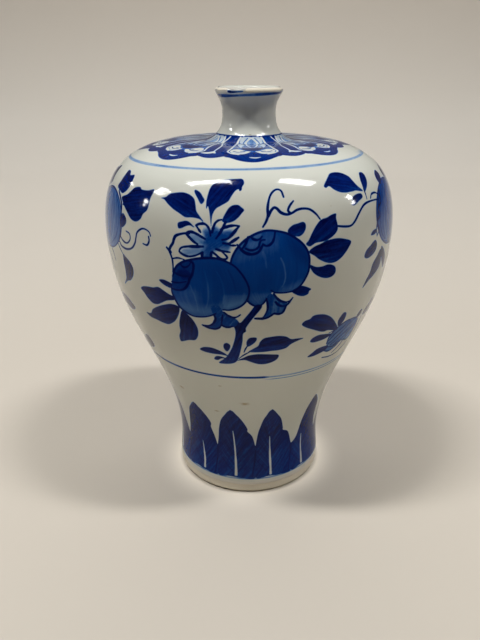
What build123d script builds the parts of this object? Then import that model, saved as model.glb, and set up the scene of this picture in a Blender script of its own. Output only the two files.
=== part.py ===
from build123d import *
import os
from math import cos, radians, sin

# A porcelain meiping vase: three thrown clay sections luted with slip, then glazed outside, inside and under the foot.
# The vase stands on its foot ring, with the origin at the centre of the foot and +Z up the axis, in millimetres.

# Clay and coats
clay_wall = 4.0  # wall of the thrown sections
glaze = 0.4  # thickness of every glaze coat
slip_seam = 0.8  # luting slip between two sections

# Foot
foot_radius = 41.0  # glazed radius of the upright foot wall
foot_round = 2.4  # rounded bare edge under the foot wall
foot_wall = 3.6  # upright wall above the rounded edge
bare_edge = 2.2  # bare clay between the rounded edge and the glaze
ring_width = 6.0  # flat bare ring that the vase stands on
ring_break = 0.8  # rounded inner edge of the ring
recess_depth = 5.0  # hollow under the base
recess_round = 1.6  # corner between the ring and the base
recess_bare = 1.2  # bare clay between the ring's inner edge and the base glaze
floor_thickness = 6.0  # clay between the base and the inside
floor_round = 5.0  # corner between the floor and the wall inside

# Stations of the finished outside, from the foot wall up to the neck
waist_radius, waist_height = 40.3, 18.0  # narrowest place above the foot
flank_radius, flank_height = 52.9, 72.0  # where the wall swings outwards
swell_radius, swell_height = 66.5, 104.0  # where the swing eases off
belly_radius, belly_height = 73.6, 142.5  # widest place
turn_radius, turn_height = 65.1, 173.6  # where the belly turns into the shoulder
shoulder_radius, shoulder_height = 46.7, 183.8  # nearly flat shoulder
root_height = 185.7  # shoulder where the neck begins

# Neck and lip
neck_fillet = 9.8  # hollow curve between the shoulder and the neck
neck_radius = 13.3
neck_height = 24.3  # from the root to the top of the lip
neck_middle = 15.1  # height over the root where the lip starts to flare
bore_radius = 10.0  # finished straight passage through the neck
mouth_depth = 8.0  # flared mouth above the straight passage
lip_radius = 16.6
lip_round = 1.7  # the lip is fully rounded
lip_angle = 35.0  # outward lean of the lip, in degrees from upright

# Luting seams
body_seam_height = 106.0
body_seam_tilt = 24.0  # bevel of the two section edges, in degrees
neck_seam_tilt = 46.0  # conical seat of the neck in the shoulder, in degrees

# Worked out from the sizes above
height = root_height + neck_height
foot_top = foot_round + foot_wall
glaze_stop = foot_round + bare_edge
root_radius = neck_radius + neck_fillet
finished_face_inside = glaze + clay_wall + glaze
rest_outer = foot_radius - glaze - foot_round
rest_inner = rest_outer - ring_width
base_edge = rest_inner - ring_break
floor_height = recess_depth + floor_thickness
lip_centre_radius = lip_radius - lip_round
lip_centre_height = height - lip_round

UP = Vector(0, 0, 1)
INWARD = Vector(-1, 0, 0)
LIP_LEAN = Vector(sin(radians(lip_angle)), 0, cos(radians(lip_angle)))


def at(radius, level):
    return Vector(radius, 0, level)


def arc(centre, radius, start, end):
    """Arc in the half section, with angles in degrees from the outward direction."""
    angles = [start, (start + end) / 2, end]
    return ThreePointArc([centre + radius * at(cos(radians(a)), sin(radians(a))) for a in angles])


# The finished outside of the body, which every other surface of the wall is measured from
body_stations = [
    at(foot_radius, foot_top),
    at(waist_radius, waist_height),
    at(flank_radius, flank_height),
    at(swell_radius, swell_height),
    at(belly_radius, belly_height),
    at(turn_radius, turn_height),
    at(shoulder_radius, shoulder_height),
    at(root_radius, root_height),
]
finished_body = Spline(body_stations, tangents=[UP, INWARD], tangent_scalars=[1, 1])


def body_curve(depth, first_station=0):
    """The body's outline at a depth under its finished outside, from a station up to the neck."""
    points = []
    for station in body_stations[first_station:]:
        along = finished_body.tangent_at(station)
        outward = at(along.Z, -along.X)
        points.append(station - outward * depth)
    # the first station moves straight in, so that the wall starts upright at its own level
    points[0] = at(body_stations[first_station].X - depth, body_stations[first_station].Z)
    return Spline(points, tangents=[UP, INWARD], tangent_scalars=[1, 1])


def lip_arc(depth, start, end):
    return arc(at(lip_centre_radius, lip_centre_height), lip_round - depth, start, end)


def outside(depth):
    """Outline from the top of the foot wall to the crown of the lip."""
    body = body_curve(depth)
    fillet_centre = at(root_radius, root_height + neck_fillet)
    fillet = arc(fillet_centre, neck_fillet + depth, -90, -180)
    lip = lip_arc(depth, -lip_angle, 90)
    middle = at(neck_radius - depth, root_height + neck_middle)
    neck = Spline(fillet @ 1, middle, lip @ 0, tangents=[UP, LIP_LEAN])
    return [body, fillet, neck, lip]


def inside(cover):
    """Outline from the middle of the floor to the crown of the lip, under a cover of glaze."""
    floor_level = floor_height + glaze - cover
    wall_start = waist_radius - finished_face_inside + cover
    corner_round = floor_round + cover
    corner_centre = at(wall_start - corner_round, floor_level + corner_round)
    floor = Line(at(0, floor_level), at(corner_centre.X, floor_level))
    corner = arc(corner_centre, corner_round, -90, 0)
    wall = body_curve(finished_face_inside - cover, first_station=1)
    upright = Line(corner @ 1, wall @ 0)
    throat_round = root_radius - bore_radius - cover
    throat_centre = at(root_radius, (wall @ 1).Z + throat_round)
    throat = arc(throat_centre, throat_round, -90, -180)
    bore = Line(throat @ 1, at(bore_radius + cover, height - mouth_depth))
    lip = lip_arc(cover, 180 - lip_angle, 90)
    mouth = Spline(bore @ 1, lip @ 0, tangents=[UP, LIP_LEAN])
    return [floor, corner, upright, wall, throat, bore, mouth, lip]


def base(cover):
    """Outline of the hollow under the base, from the axis to the bare clay inside the foot ring."""
    level = recess_depth - cover
    edge = base_edge - cover
    corner_round = recess_round - cover
    roof = Line(at(0, level), at(edge - corner_round, level))
    corner = arc(at(edge - corner_round, level - corner_round), corner_round, 90, 0)
    side = Line(corner @ 1, at(edge, ring_break + recess_bare))
    return [roof, corner, side]


def between(first, second):
    """Face between two chains of edges that run the same way, closed across their ends."""
    edges = first + second
    for start, end in ((first[0] @ 0, second[0] @ 0), (first[-1] @ 1, second[-1] @ 1)):
        if (end - start).length > 1e-6:
            edges.append(Line(start, end))
    return make_face(edges)


def turned(face):
    return revolve(face, Axis.Z, 360)


def foot_side(depth, start):
    return Line(at(foot_radius - depth, start), at(foot_radius - depth, foot_top))


def clay_half_section():
    """Clay of the whole vase, from the hollow base over the bare foot ring to the lip and back inside."""
    hollow = base(0)
    ring_edge = arc(at(rest_inner, ring_break), ring_break, 180, 270)
    bare_side = Line(hollow[-1] @ 1, ring_edge @ 0)
    rest = Line(ring_edge @ 1, at(rest_outer, 0))
    foot_edge = arc(at(rest_outer, foot_round), foot_round, -90, 0)
    foot = [bare_side, ring_edge, rest, foot_edge, foot_side(glaze, foot_round)]
    return between(hollow + foot + outside(glaze), inside(glaze))


def seam_strip(centre, tilt):
    """Strip across one wall and past both of its faces, as thick as the slip, rising outwards by the tilt."""
    across = at(cos(radians(tilt)), sin(radians(tilt))) * clay_wall * 2
    half_slip = at(-sin(radians(tilt)), cos(radians(tilt))) * slip_seam / 2
    corners = [centre - across - half_slip, centre + across - half_slip,
               centre + across + half_slip, centre - across + half_slip]
    return make_face(Polyline(*corners, close=True))


def clay_sections():
    """The thrown sections and the slip that joins them."""
    clay = clay_half_section()
    level_cut = Line(at(0, body_seam_height), at(belly_radius * 2, body_seam_height))
    wall_at_seam = finished_body.intersect(level_cut).vertices()[0]
    body_strip = seam_strip(at(wall_at_seam.X - glaze - clay_wall / 2, body_seam_height), body_seam_tilt)
    seat_across = at(cos(radians(neck_seam_tilt)), sin(radians(neck_seam_tilt)))
    seat_middle = at(root_radius, root_height + neck_fillet) - seat_across * (neck_fillet + glaze + clay_wall / 2)
    neck_strip = seam_strip(seat_middle, neck_seam_tilt)
    lower, upper, neck = (clay - body_strip - neck_strip).faces().sort_by(Axis.Z)
    return {
        "lower_section": turned(lower),
        "upper_section": turned(upper),
        "neck_section": turned(neck),
        "body_luting_slip": turned((clay & body_strip).face()),
        "neck_luting_slip": turned((clay & neck_strip).face()),
    }


def glaze_coats():
    """The fired glaze over the outside, inside and hollow base."""
    outer_face = [foot_side(0, glaze_stop)] + outside(0)
    outer_back = [foot_side(glaze, glaze_stop)] + outside(glaze)
    return {
        "outer_glaze": turned(between(outer_face, outer_back)),
        "inner_glaze": turned(between(inside(0), inside(glaze))),
        "base_glaze": turned(between(base(0), base(glaze))),
    }


os.makedirs("parts", exist_ok=True)
for name, solid in {**clay_sections(), **glaze_coats()}.items():
    export_step(solid, f"parts/{name}.step")
    print(name, round(solid.volume), "mm3")
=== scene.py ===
import math
import bpy
import numpy as np
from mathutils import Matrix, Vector
from mathutils.geometry import delaunay_2d_cdt


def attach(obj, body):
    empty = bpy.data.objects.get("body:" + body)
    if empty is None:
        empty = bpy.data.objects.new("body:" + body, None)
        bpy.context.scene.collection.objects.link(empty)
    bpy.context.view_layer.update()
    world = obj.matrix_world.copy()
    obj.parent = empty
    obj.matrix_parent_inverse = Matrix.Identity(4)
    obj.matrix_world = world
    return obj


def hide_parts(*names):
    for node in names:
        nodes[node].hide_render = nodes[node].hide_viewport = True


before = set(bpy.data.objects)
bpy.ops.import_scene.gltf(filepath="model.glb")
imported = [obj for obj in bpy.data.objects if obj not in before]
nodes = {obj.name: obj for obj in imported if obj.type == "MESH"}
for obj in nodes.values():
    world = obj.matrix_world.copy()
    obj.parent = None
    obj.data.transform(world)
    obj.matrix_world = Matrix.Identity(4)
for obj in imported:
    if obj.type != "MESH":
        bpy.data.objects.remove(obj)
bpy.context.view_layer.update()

mm = 0.001
fullTurn = 2 * math.pi
dice = np.random.default_rng(11)

# Outside of the vase, radii and heights in mm
vase = {
    "glazeEdge": 4.6, "footRadius": 41.0, "footTop": 6.0,
    "glazeRoll": [(-0.8, 0.1), (-0.3, 0.0), (-0.1, 0.15), (0.0, 0.5)],  # the glaze ends in a roll
    "stations": [(40.3, 18.0), (52.9, 72.0), (66.5, 104.0), (73.6, 142.5), (65.1, 173.6), (46.7, 183.8)],
    "rootHeight": 185.7, "neckRadius": 13.3, "neckFillet": 9.8, "neckMiddle": 200.8,
    "lipRadius": 16.6, "lipRound": 1.7, "lipLean": 35.0, "height": 210.0,
}


def cubicThrough(points, first, last, steps=120):
    # smooth curve through points with unit directions at both ends
    p = np.array(points, float)
    h = np.linalg.norm(np.diff(p, axis=0), axis=1)
    n = len(p)
    a = np.zeros((n, n))
    b = np.zeros((n, 2))
    a[0, 0] = a[-1, -1] = 1
    b[0], b[-1] = first, last
    for i in range(1, n - 1):
        a[i, i - 1:i + 2] = h[i], 2 * (h[i - 1] + h[i]), h[i - 1]
        b[i] = 3 * (h[i] / h[i - 1] * (p[i] - p[i - 1]) + h[i - 1] / h[i] * (p[i + 1] - p[i]))
    m = np.linalg.solve(a, b)
    t = np.linspace(0, 1, steps, endpoint=False)[:, None]
    parts = []
    for i in range(n - 1):
        parts.append((2 * t**3 - 3 * t**2 + 1) * p[i] + (t**3 - 2 * t**2 + t) * h[i] * m[i]
                     + (3 * t**2 - 2 * t**3) * p[i + 1] + (t**3 - t**2) * h[i] * m[i + 1])
    return np.vstack(parts + [p[-1:]])


def vaseOutline():
    v = vase
    root = v["neckRadius"] + v["neckFillet"]
    foot = (v["footRadius"], v["footTop"])
    body = cubicThrough([foot] + v["stations"] + [(root, v["rootHeight"])], (0, 1), (-1, 0))
    a = np.linspace(0, math.pi / 2, 24)[:, None]
    fillet = np.hstack([root - v["neckFillet"] * np.sin(a),
                        v["rootHeight"] + v["neckFillet"] * (1 - np.cos(a))])
    lean = math.radians(v["lipLean"])
    a = np.linspace(-lean, math.pi / 2, 40)[:, None]
    lip = np.hstack([v["lipRadius"] - v["lipRound"] * (1 - np.cos(a)),
                     v["height"] - v["lipRound"] * (1 - np.sin(a))])
    neck = cubicThrough([fillet[-1], (v["neckRadius"], v["neckMiddle"]), lip[0]],
                        (0, 1), (math.sin(lean), math.cos(lean)))
    roll = np.array(v["glazeRoll"]) + (v["footRadius"], v["glazeEdge"])
    line = np.vstack([roll, body, fillet[1:], neck[1:], lip[1:]])
    up = np.concatenate([[0], np.cumsum(np.linalg.norm(np.diff(line, axis=0), axis=1))])
    up -= up[len(roll)] - (v["footTop"] - v["glazeEdge"])  # mm up the wall, counted from the glaze edge
    return line, up


outline, outlineUp = vaseOutline()
wallStart, wallEnd = outlineUp[0], outlineUp[-1]
flatUp = np.concatenate([[0], np.cumsum(np.diff(outlineUp) / (0.5 * (outline[1:, 0] + outline[:-1, 0])))])


def radiusAt(up):
    return np.interp(up, outlineUp, outline[:, 0])


def heightAt(up):
    return np.interp(up, outlineUp, outline[:, 1])


def flat(up):
    # height in the unrolled sheet, where shapes keep their proportions at every radius
    return np.interp(up, outlineUp, flatUp)


def unflat(f):
    return np.interp(f, flatUp, outlineUp)


def shoulderUp(radius):
    # mm up the wall of a radius on the shoulder, between the belly and the neck
    widest = int(np.argmax(outline[:, 0]))
    narrowest = widest + int(np.argmin(outline[widest:, 0]))
    r, u = outline[widest:narrowest, 0], outlineUp[widest:narrowest]
    return float(np.interp(radius, r[::-1], u[::-1]))


# Brush strokes. Every stroke is a path of (degrees around, mm up the wall) with its own ink
strokes = []
strokeStep = {"fill": 0.55, "line": 0.5}  # mm between the points of a stroke
tintLine = {"soft": 0.26, "mode": "tint"}  # a fine line that darkens or lightens the wash under it


def smoothPath(path, closed, step):
    p = np.array(path, float)
    q = np.column_stack([np.radians(p[:, 0]), flat(p[:, 1])])
    e = np.vstack([q[-1:], q, q[:2]]) if closed else np.vstack([2 * q[0] - q[1], q, 2 * q[-1] - q[-2]])
    t = np.linspace(0, 1, 10, endpoint=False)[:, None]
    bits = []
    for i in range(len(e) - 3):
        a, b, c, d = e[i:i + 4]
        bits.append(0.5 * (2 * b + (c - a) * t + (2 * a - 5 * b + 4 * c - d) * t**2
                           + (3 * b - a - 3 * c + d) * t**3))
    bits.append(q[:1] if closed else q[-1:])
    loop = np.vstack(bits)
    r = radiusAt(unflat(loop[:, 1]))
    gaps = np.linalg.norm(np.diff(loop, axis=0), axis=1) * 0.5 * (r[1:] + r[:-1])
    run = np.concatenate([[0], np.cumsum(gaps)])
    at = np.linspace(0, run[-1], max(6, int(run[-1] / step) + 1), endpoint=not closed)
    return np.column_stack([np.interp(at, run, loop[:, 0]), np.interp(at, run, loop[:, 1])])


def addStroke(path, ink, soft, bristle, mode="ink", axis="path", low=None, rim=0.0, half=None, shade=None):
    # half is half the width along a line, and a stroke without it is a filled outline
    strokes.append(dict(path=path, closed=half is None, ink=ink, low=ink if low is None else low, rim=rim,
                        soft=soft, mode=mode, axis=axis, half=half, shade=shade, bristle=bristle))


def fill(path, ink, low=None, rim=0.0, soft=0.27, mode="ink", axis="long", bristle=0.6):
    addStroke(smoothPath(path, True, strokeStep["fill"]), ink, soft, bristle, mode, axis, low, rim)


def line(path, width, ink=0.93, soft=0.2, mode="ink", taper=(0.75, 1.0, 0.6)):
    p = smoothPath(path, False, strokeStep["line"])
    t = np.linspace(0, 1, len(p))
    wobble = 1 + 0.1 * np.sin(t * 9 + len(strokes)) + 0.06 * np.sin(t * 23 + 2 * len(strokes))
    half = 0.5 * width * np.interp(t, [0, 0.3, 1], taper) * wobble
    addStroke(p, ink, soft, 0.3, mode, half=half)


def ring(up, width, ink, wave=0.15, tilt=0.0, shade=((-180, 1), (180, 1)), soft=0.14):
    # a band right round the vase; shade lists (bearing, strength of the ink)
    turn = np.linspace(-180, 180, 721)
    around = np.radians(turn)
    sway = wave * (0.5 * np.sin(2 * around + up) + 0.3 * np.sin(3 * around + 2 * up))
    wander = tilt * np.sin(around) + sway
    path = np.column_stack([around, flat(up + wander)])
    strength = np.interp(turn, *np.transpose(shade))
    half = 0.5 * width * (1 + 0.12 * np.sin(5 * around)) * (0.4 + 0.6 * np.minimum(strength, 1))
    addStroke(path, ink, soft, 0.6, half=half, shade=strength)


def placed(path, turn=0.0, mirror=None):
    # the same path turned round the vase, or mirrored about a bearing
    return [((2 * mirror - a if mirror is not None else a) + turn, u) for a, u in path]


# Painted sprays, laid out on the wall as (degrees around from the front, mm up the wall)
frontLeaves = [
    [(-32.5, 169.4), (-30.5, 170.1), (-29.1, 171.6), (-26.4, 172.5), (-23.6, 172.8), (-21, 172),
     (-19.2, 170.4), (-18.4, 168), (-17.8, 165.5), (-16.5, 163.6), (-15, 161.3), (-16.6, 162.4),
     (-19.2, 162.8), (-21.7, 162.7), (-24.1, 164.1), (-26.6, 165.5), (-29, 167.3), (-31.1, 169.1)],
    [(-12.4, 159.9), (-12.9, 163.5), (-13.5, 166.7), (-14, 167.9), (-14.4, 166.6), (-14.6, 169.5),
     (-14.4, 172.5), (-14, 175.4), (-13.2, 177.3), (-10.9, 179.2), (-7.5, 180.1), (-4.9, 180.4),
     (-2.6, 180.4), (-1.8, 178.4), (-2.5, 176.5), (-2.6, 175.1), (-3.3, 174.6), (-3.7, 175.5),
     (-4.9, 174.6), (-6.2, 172), (-7.1, 170.1), (-9.4, 168.3), (-11, 167), (-12, 164.9), (-12.3, 162.7)],
    [(-8.8, 162.3), (-7.9, 164.9), (-6.7, 167.4), (-5.4, 168.5), (-3.7, 168.7), (-2.7, 167.9),
     (-1.6, 166.7), (-2.3, 165.5), (-3.3, 163.9), (-4.9, 162.2), (-6.8, 161.4), (-8.1, 161.5)],
    [(-19.7, 174.1), (-19.2, 174.4), (-17.5, 173.4), (-16.1, 171.5), (-15.4, 170.3), (-15.8, 169),
     (-16.4, 168.5), (-17.1, 169.3), (-18, 170.9), (-19.3, 173)],
    [(-24.1, 158.3), (-24.2, 160), (-22.7, 160.8), (-20.9, 161.2), (-19.4, 160.3), (-18.2, 158.8),
     (-19.7, 159.5), (-21.1, 159.1), (-22.6, 158.1), (-23.7, 157.8)],
    [(12.7, 157.4), (13.1, 158.8), (14.5, 160.1), (16.2, 160.6), (18, 161.1), (18.9, 160.1),
     (18.8, 158.1), (17.8, 156.2), (16.4, 155.3), (14.4, 155.9)],
    [(18.9, 151.9), (19.9, 153.4), (21.1, 156.2), (22.6, 158.9), (24.6, 161.2), (27.1, 161.9),
     (28.8, 162.7), (30.9, 163), (30.7, 161.2), (31.1, 158.6), (31, 156.1), (29.5, 154.2), (27.4, 152.8),
     (25.1, 152.1), (22.5, 151.9), (20.3, 150.7)],
    [(20, 148.4), (21.8, 150.3), (24, 151.2), (26.7, 152.3), (30.3, 152.6), (33.3, 152), (37, 150.2),
     (36.1, 147.7), (34.8, 145.8), (32.7, 143.5), (30.2, 142.2), (27.4, 142.4), (24.2, 144.3),
     (22.2, 146.3)],
    [(20.5, 142.6), (22.8, 141.4), (25.1, 141.2), (27.4, 141.7), (29.5, 141), (30.7, 139.4),
     (30.7, 137.1), (29.1, 135.6), (26.3, 135.7), (23.4, 137.4), (21.4, 139.8)],
    [(14.6, 131.2), (16, 132.5), (17.4, 133.5), (19.2, 133), (21.6, 131.4), (20.9, 130.5), (20.6, 129.1),
     (18.8, 128.4), (16.5, 129.3)],
    [(-32.8, 133.3), (-31, 134), (-28.9, 133.5), (-27.3, 132.6), (-28, 130.6), (-29.6, 130.9),
     (-31.2, 131.7)],
    [(-43.3, 126.2), (-41.8, 127.6), (-38.9, 128.4), (-36.3, 128.7), (-33.8, 129.6), (-31.7, 128.7),
     (-29.6, 127.4), (-26.8, 126.1), (-27.5, 124.7), (-30.7, 123.6), (-33.3, 121.8), (-35.6, 120.3),
     (-38.2, 120), (-40.4, 122), (-42, 124.6)],
    [(-44.3, 112.8), (-41.3, 113.4), (-39.2, 116.4), (-35.3, 119.3), (-32, 121.1), (-29.1, 122.2),
     (-26.6, 122), (-25.7, 120.7), (-26.8, 116.9), (-29.1, 112.9), (-32.6, 110), (-35.7, 109.9),
     (-38.8, 110.5), (-42.1, 111)],
    [(-24.8, 119.8), (-26.4, 115.3), (-27.4, 111), (-27.7, 107.4), (-29, 103.9), (-29.1, 100.7),
     (-27.5, 101.2), (-24.8, 102.6), (-21.9, 103.4), (-20.2, 106.3), (-19.6, 110), (-20, 112.9),
     (-21.2, 116), (-23, 118.4)],
]
footLeaves = [  # the stem and the leaves at its foot
    [(-13.3, 89.9), (-9.8, 94), (-7.3, 99.4), (-5.8, 104.7), (-5, 109.7), (-5.3, 113.2), (-6.8, 116.4),
     (-4.6, 118.2), (-3.2, 116.1), (-1.4, 118.8), (0.7, 122.5), (2.4, 125.5), (4.5, 124.7), (2.1, 119.9),
     (0.4, 116.7), (-1.1, 113.3), (-1.1, 111.3), (-2.2, 109.8), (-2.5, 105.5), (-3.2, 100.4),
     (-4.1, 95.6), (-5.4, 91.6), (-7.4, 90), (-10.6, 89.4)],
    [(0, 98.4), (1.6, 100.4), (3.6, 102.3), (4.3, 104.8), (5.7, 106.9), (8, 107.6), (11.1, 107.9),
     (14.3, 107.1), (16.6, 105.2), (19.1, 105), (22, 104.6), (19.4, 103.4), (17, 101.9), (15.2, 99.7),
     (12.3, 98.8), (9, 98.6), (5.3, 98.2)],
    [(-5.1, 92.3), (-2.5, 94.2), (0, 96), (3.3, 96.8), (6.6, 96.6), (10, 96.1), (12.5, 95.4),
     (12.1, 92.6), (10.1, 90.7), (7.1, 89.6), (4, 89.8), (0.9, 91.4), (-1.7, 92.8)],
    [(-0.8, 102.4), (-0.9, 104.9), (0, 107.1), (1.5, 107.7), (2.9, 107.4), (2.7, 105.5), (1.6, 103.7),
     (0, 102.1)],
    [(-10.2, 101.1), (-9.8, 103.1), (-8.6, 103.9), (-7.5, 102.7), (-7.6, 100.7), (-8.8, 98.3),
     (-9.7, 99.2)],
    [(-20.6, 98.1), (-18.6, 99.6), (-15.5, 99.9), (-12.7, 98.8), (-10.3, 97.1), (-8.8, 95.2),
     (-11.7, 95.8), (-15.2, 95.9), (-18.2, 96.3), (-20.4, 97.2)],
    [(-15.1, 92.1), (-14.3, 94), (-13, 94.6), (-11.5, 94.3), (-10, 93.4), (-12, 93), (-13.5, 91.7)],
]
frontLines = [  # width, path
    (0.93, [(-27.7, 131.1), (-27.8, 128.6), (-27.1, 125.8), (-25.7, 122), (-23.6, 119.6), (-20.6, 117.8),
            (-17.1, 117.9), (-14, 118.9), (-11.7, 120.5)]),
    (1.04, [(-26.7, 136.5), (-25.1, 141), (-22.6, 143.6), (-19.7, 145), (-16.5, 146), (-13.4, 146.5),
            (-10.4, 146.5), (-7.4, 145.4), (-4.8, 143.6), (-2.9, 141), (-1.3, 137.9), (-0.2, 134.7),
            (0.1, 131.9), (-0.5, 128.5), (-1.7, 126.1), (-3.8, 124), (-6.6, 122.7), (-9, 122.7)]),
    (0.93, [(-0.7, 128), (0.4, 126.3), (2.4, 124.9), (4.5, 125.7), (6.1, 128.6)]),
    (1.04, [(-6, 144.4), (-5.5, 147), (-4.5, 149.8), (-3.2, 152.1), (-1.6, 154.2), (1, 156.4),
            (3.6, 157.8), (6.1, 158.4), (9.1, 158), (12.1, 157), (14.7, 155.2), (17.1, 152.9),
            (18.9, 150.2), (20, 147.1), (20.3, 144), (20.1, 140), (19, 136.5), (17.7, 133.9), (16, 131.8),
            (13.9, 131.1), (11.2, 130.9), (8.7, 131.3), (7.4, 132.4)]),
    (0.81, [(-26.4, 144.5), (-24.1, 145.2), (-21.7, 144.8)]),
    (1.28, [(-19.9, 156.2), (-22.1, 155.9), (-24.7, 154.7), (-25.5, 153.1), (-25.9, 151.4),
            (-26.9, 149.5), (-27.3, 147.9), (-26.8, 146), (-26.3, 143.9), (-26.2, 141.2),
            (-26.4, 138.5)]),
    (1.39, [(-26.7, 147.3), (-27.7, 148.3), (-28.4, 149.1)]),
    (1.1, [(4.5, 159.8), (5.5, 161.8), (6.2, 164.2), (6.2, 167), (6.6, 169.9), (7.3, 172.4), (8.5, 174.3),
           (10, 175.2), (11.4, 174.4), (12, 171.7)]),
    (1.22, [(6.4, 164), (7.3, 166.2), (8.4, 167.5), (9.4, 167), (10.6, 165.4), (12.6, 164.5), (14.4, 165),
            (16.2, 166.1), (18.4, 166.5), (20.9, 165.9), (23, 163.8), (24.3, 161.6)]),
    (1.1, [(13.9, 165), (13.1, 166.1), (13.9, 168.1), (15.3, 169.9)]),
    (0.75, [(-0.6, 102.4), (-1.4, 100.4), (-2, 98.2)]),
    (0.75, [(0.2, 98.4), (-2.1, 96.3), (-4.2, 93.8)]),
    (0.7, [(-9.8, 93.6), (-8, 94.2)]),
    (1.04, [(-15.9, 157), (-16.8, 158.5), (-17.6, 159.7)]),
    (1.16, [(-17.6, 159.7), (-16.5, 160.4), (-14.8, 160.6), (-13.6, 159.7), (-12.8, 158),
            (-12.5, 155.8)]),
    (1.16, [(-12, 157.3), (-11.7, 159.1), (-11.1, 161), (-10.1, 162.2), (-9, 162.6)]),
    (1.28, [(-7.6, 161.7), (-8.3, 159.9), (-9.2, 157.6), (-10.2, 155.7), (-10.7, 154.9)]),
    (1.28, [(-9.1, 158.6), (-7.8, 159.5), (-6.1, 160.2), (-4.5, 160.4), (-3.2, 160.2)]),
    (1.28, [(-3.2, 160.2), (-4.2, 158.6), (-5.5, 156.6), (-6.9, 155), (-8.7, 154.4)]),
    (1.28, [(-3.3, 155.6), (-4.5, 154.6), (-5.8, 153.5), (-6.7, 152.9), (-8.4, 153.1)]),
    (0.93, [(-4.3, 152.3), (-5.8, 152.3), (-6.7, 152.8)]),
    (1.04, [(-10.7, 150.5), (-8.7, 149.8), (-6.1, 149.4)]),
    (1.04, [(-12, 149.2), (-10.8, 148.2), (-9.7, 147), (-8.6, 146.3), (-7.4, 146.5), (-7, 147.2),
            (-7.9, 148.6), (-9.2, 150)]),
    (1.28, [(-15.2, 148.7), (-15.4, 147.2), (-15.2, 146)]),
    (1.16, [(-12.3, 148.9), (-12.4, 147.4), (-12.5, 146.4)]),
    (1.28, [(-15, 151.2), (-17.4, 151), (-20.3, 150.7), (-22.5, 150), (-23.3, 149.1)]),
    (0.99, [(-23.3, 149.1), (-23.5, 148.1), (-22.2, 147), (-20.3, 146.4), (-18.2, 146.9), (-16.4, 147.9),
            (-15.4, 148.8)]),
    (1.28, [(-20.8, 156), (-20.3, 156.7), (-18.9, 156.9), (-17.1, 156.2), (-15.7, 155.3),
            (-14.3, 154.4)]),
    (1.28, [(-20.7, 155.6), (-19.4, 154.1), (-18.1, 152.8), (-16.9, 152)]),
    (1.39, [(-19.7, 144.5), (-18.6, 143.5), (-18.6, 141.1), (-19.2, 138.5), (-20.2, 136.3),
            (-20.8, 134.3), (-21.9, 132.1), (-23.5, 130.6), (-25.6, 130.1), (-27.3, 130.4)]),
    (0.93, [(-23.4, 143), (-22.7, 141.7), (-21.3, 141.5), (-20, 142.7), (-19.5, 144.1)]),
    (1.1, [(-26.2, 138.7), (-24.5, 137.7), (-22.6, 137.3), (-20.7, 137.6)]),
    (0.81, [(-27.4, 133.8), (-25.6, 133.7), (-23.6, 134.1), (-21.6, 134.9)]),
    (1.33, [(-2.6, 150.7), (-1.3, 149.4), (0.3, 148.7), (1.9, 148.9), (3.2, 149.8), (4, 151.5),
            (4.5, 152.7)]),
    (0.99, [(-1.1, 151.1), (0.3, 150.4), (1.9, 150.6), (3.1, 151.7), (3.4, 153.1), (3.9, 154.4),
            (5.1, 154.6)]),
    (1.16, [(-0.3, 155.8), (-0.8, 153.8), (-1.6, 151.9), (-2.4, 150.7)]),
    (1.04, [(4.5, 152.8), (5.5, 152.1), (6.6, 152.4), (7.6, 153.6), (8.1, 155.2), (8.4, 157.3),
            (8.3, 158.3)]),
    (1.04, [(0.5, 156), (1.5, 154.9), (2.6, 154.6), (3.5, 155), (4.2, 156)]),
    (1.04, [(-3.8, 152.7), (-3, 151.5), (-2.4, 150.5)]),
    (1.16, [(-12.3, 119.4), (-12.1, 117.5), (-12.8, 115.5), (-14.2, 113.8), (-15.8, 113.3),
            (-17.3, 113.4)]),
    (1.16, [(-17.3, 113.4), (-15.7, 112.5), (-14.2, 111.9), (-12.3, 111.9), (-10.9, 112.9),
            (-10, 114.5)]),
    (1.16, [(-10, 114.5), (-8.8, 113.5), (-7.3, 113.4), (-5.8, 114)]),
    (1.16, [(-8.7, 121.4), (-7.4, 119.9), (-5.6, 118.9), (-4.2, 119.3), (-3, 120.5)]),
    (0.87, [(-9.3, 120), (-9.7, 117.3), (-10, 114.5)]),
    (1.04, [(5.9, 128.6), (6.3, 126.4), (6.5, 123.9), (6.1, 121.6), (5.3, 119.5), (4.3, 118.2)]),
    (1.28, [(2.1, 118.5), (3.9, 118.4), (5.7, 118.4), (7.4, 119.4), (8.8, 120.8)]),
    (1.16, [(8.8, 120.8), (10.3, 120.4), (11.7, 120.8), (12.5, 122.5), (12.9, 124.8)]),
    (1.04, [(12.9, 124.5), (13.7, 125.4), (14.4, 126.9), (15.1, 128.2)]),
    (1.16, [(8.3, 130.7), (9.2, 129.1), (10.3, 127.6), (11.7, 126.6), (13.1, 126.3), (14.4, 126.9)]),
    (1.16, [(9.1, 126.7), (10.2, 125.1), (11.5, 124.4), (12.9, 124.5)]),
]
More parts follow.
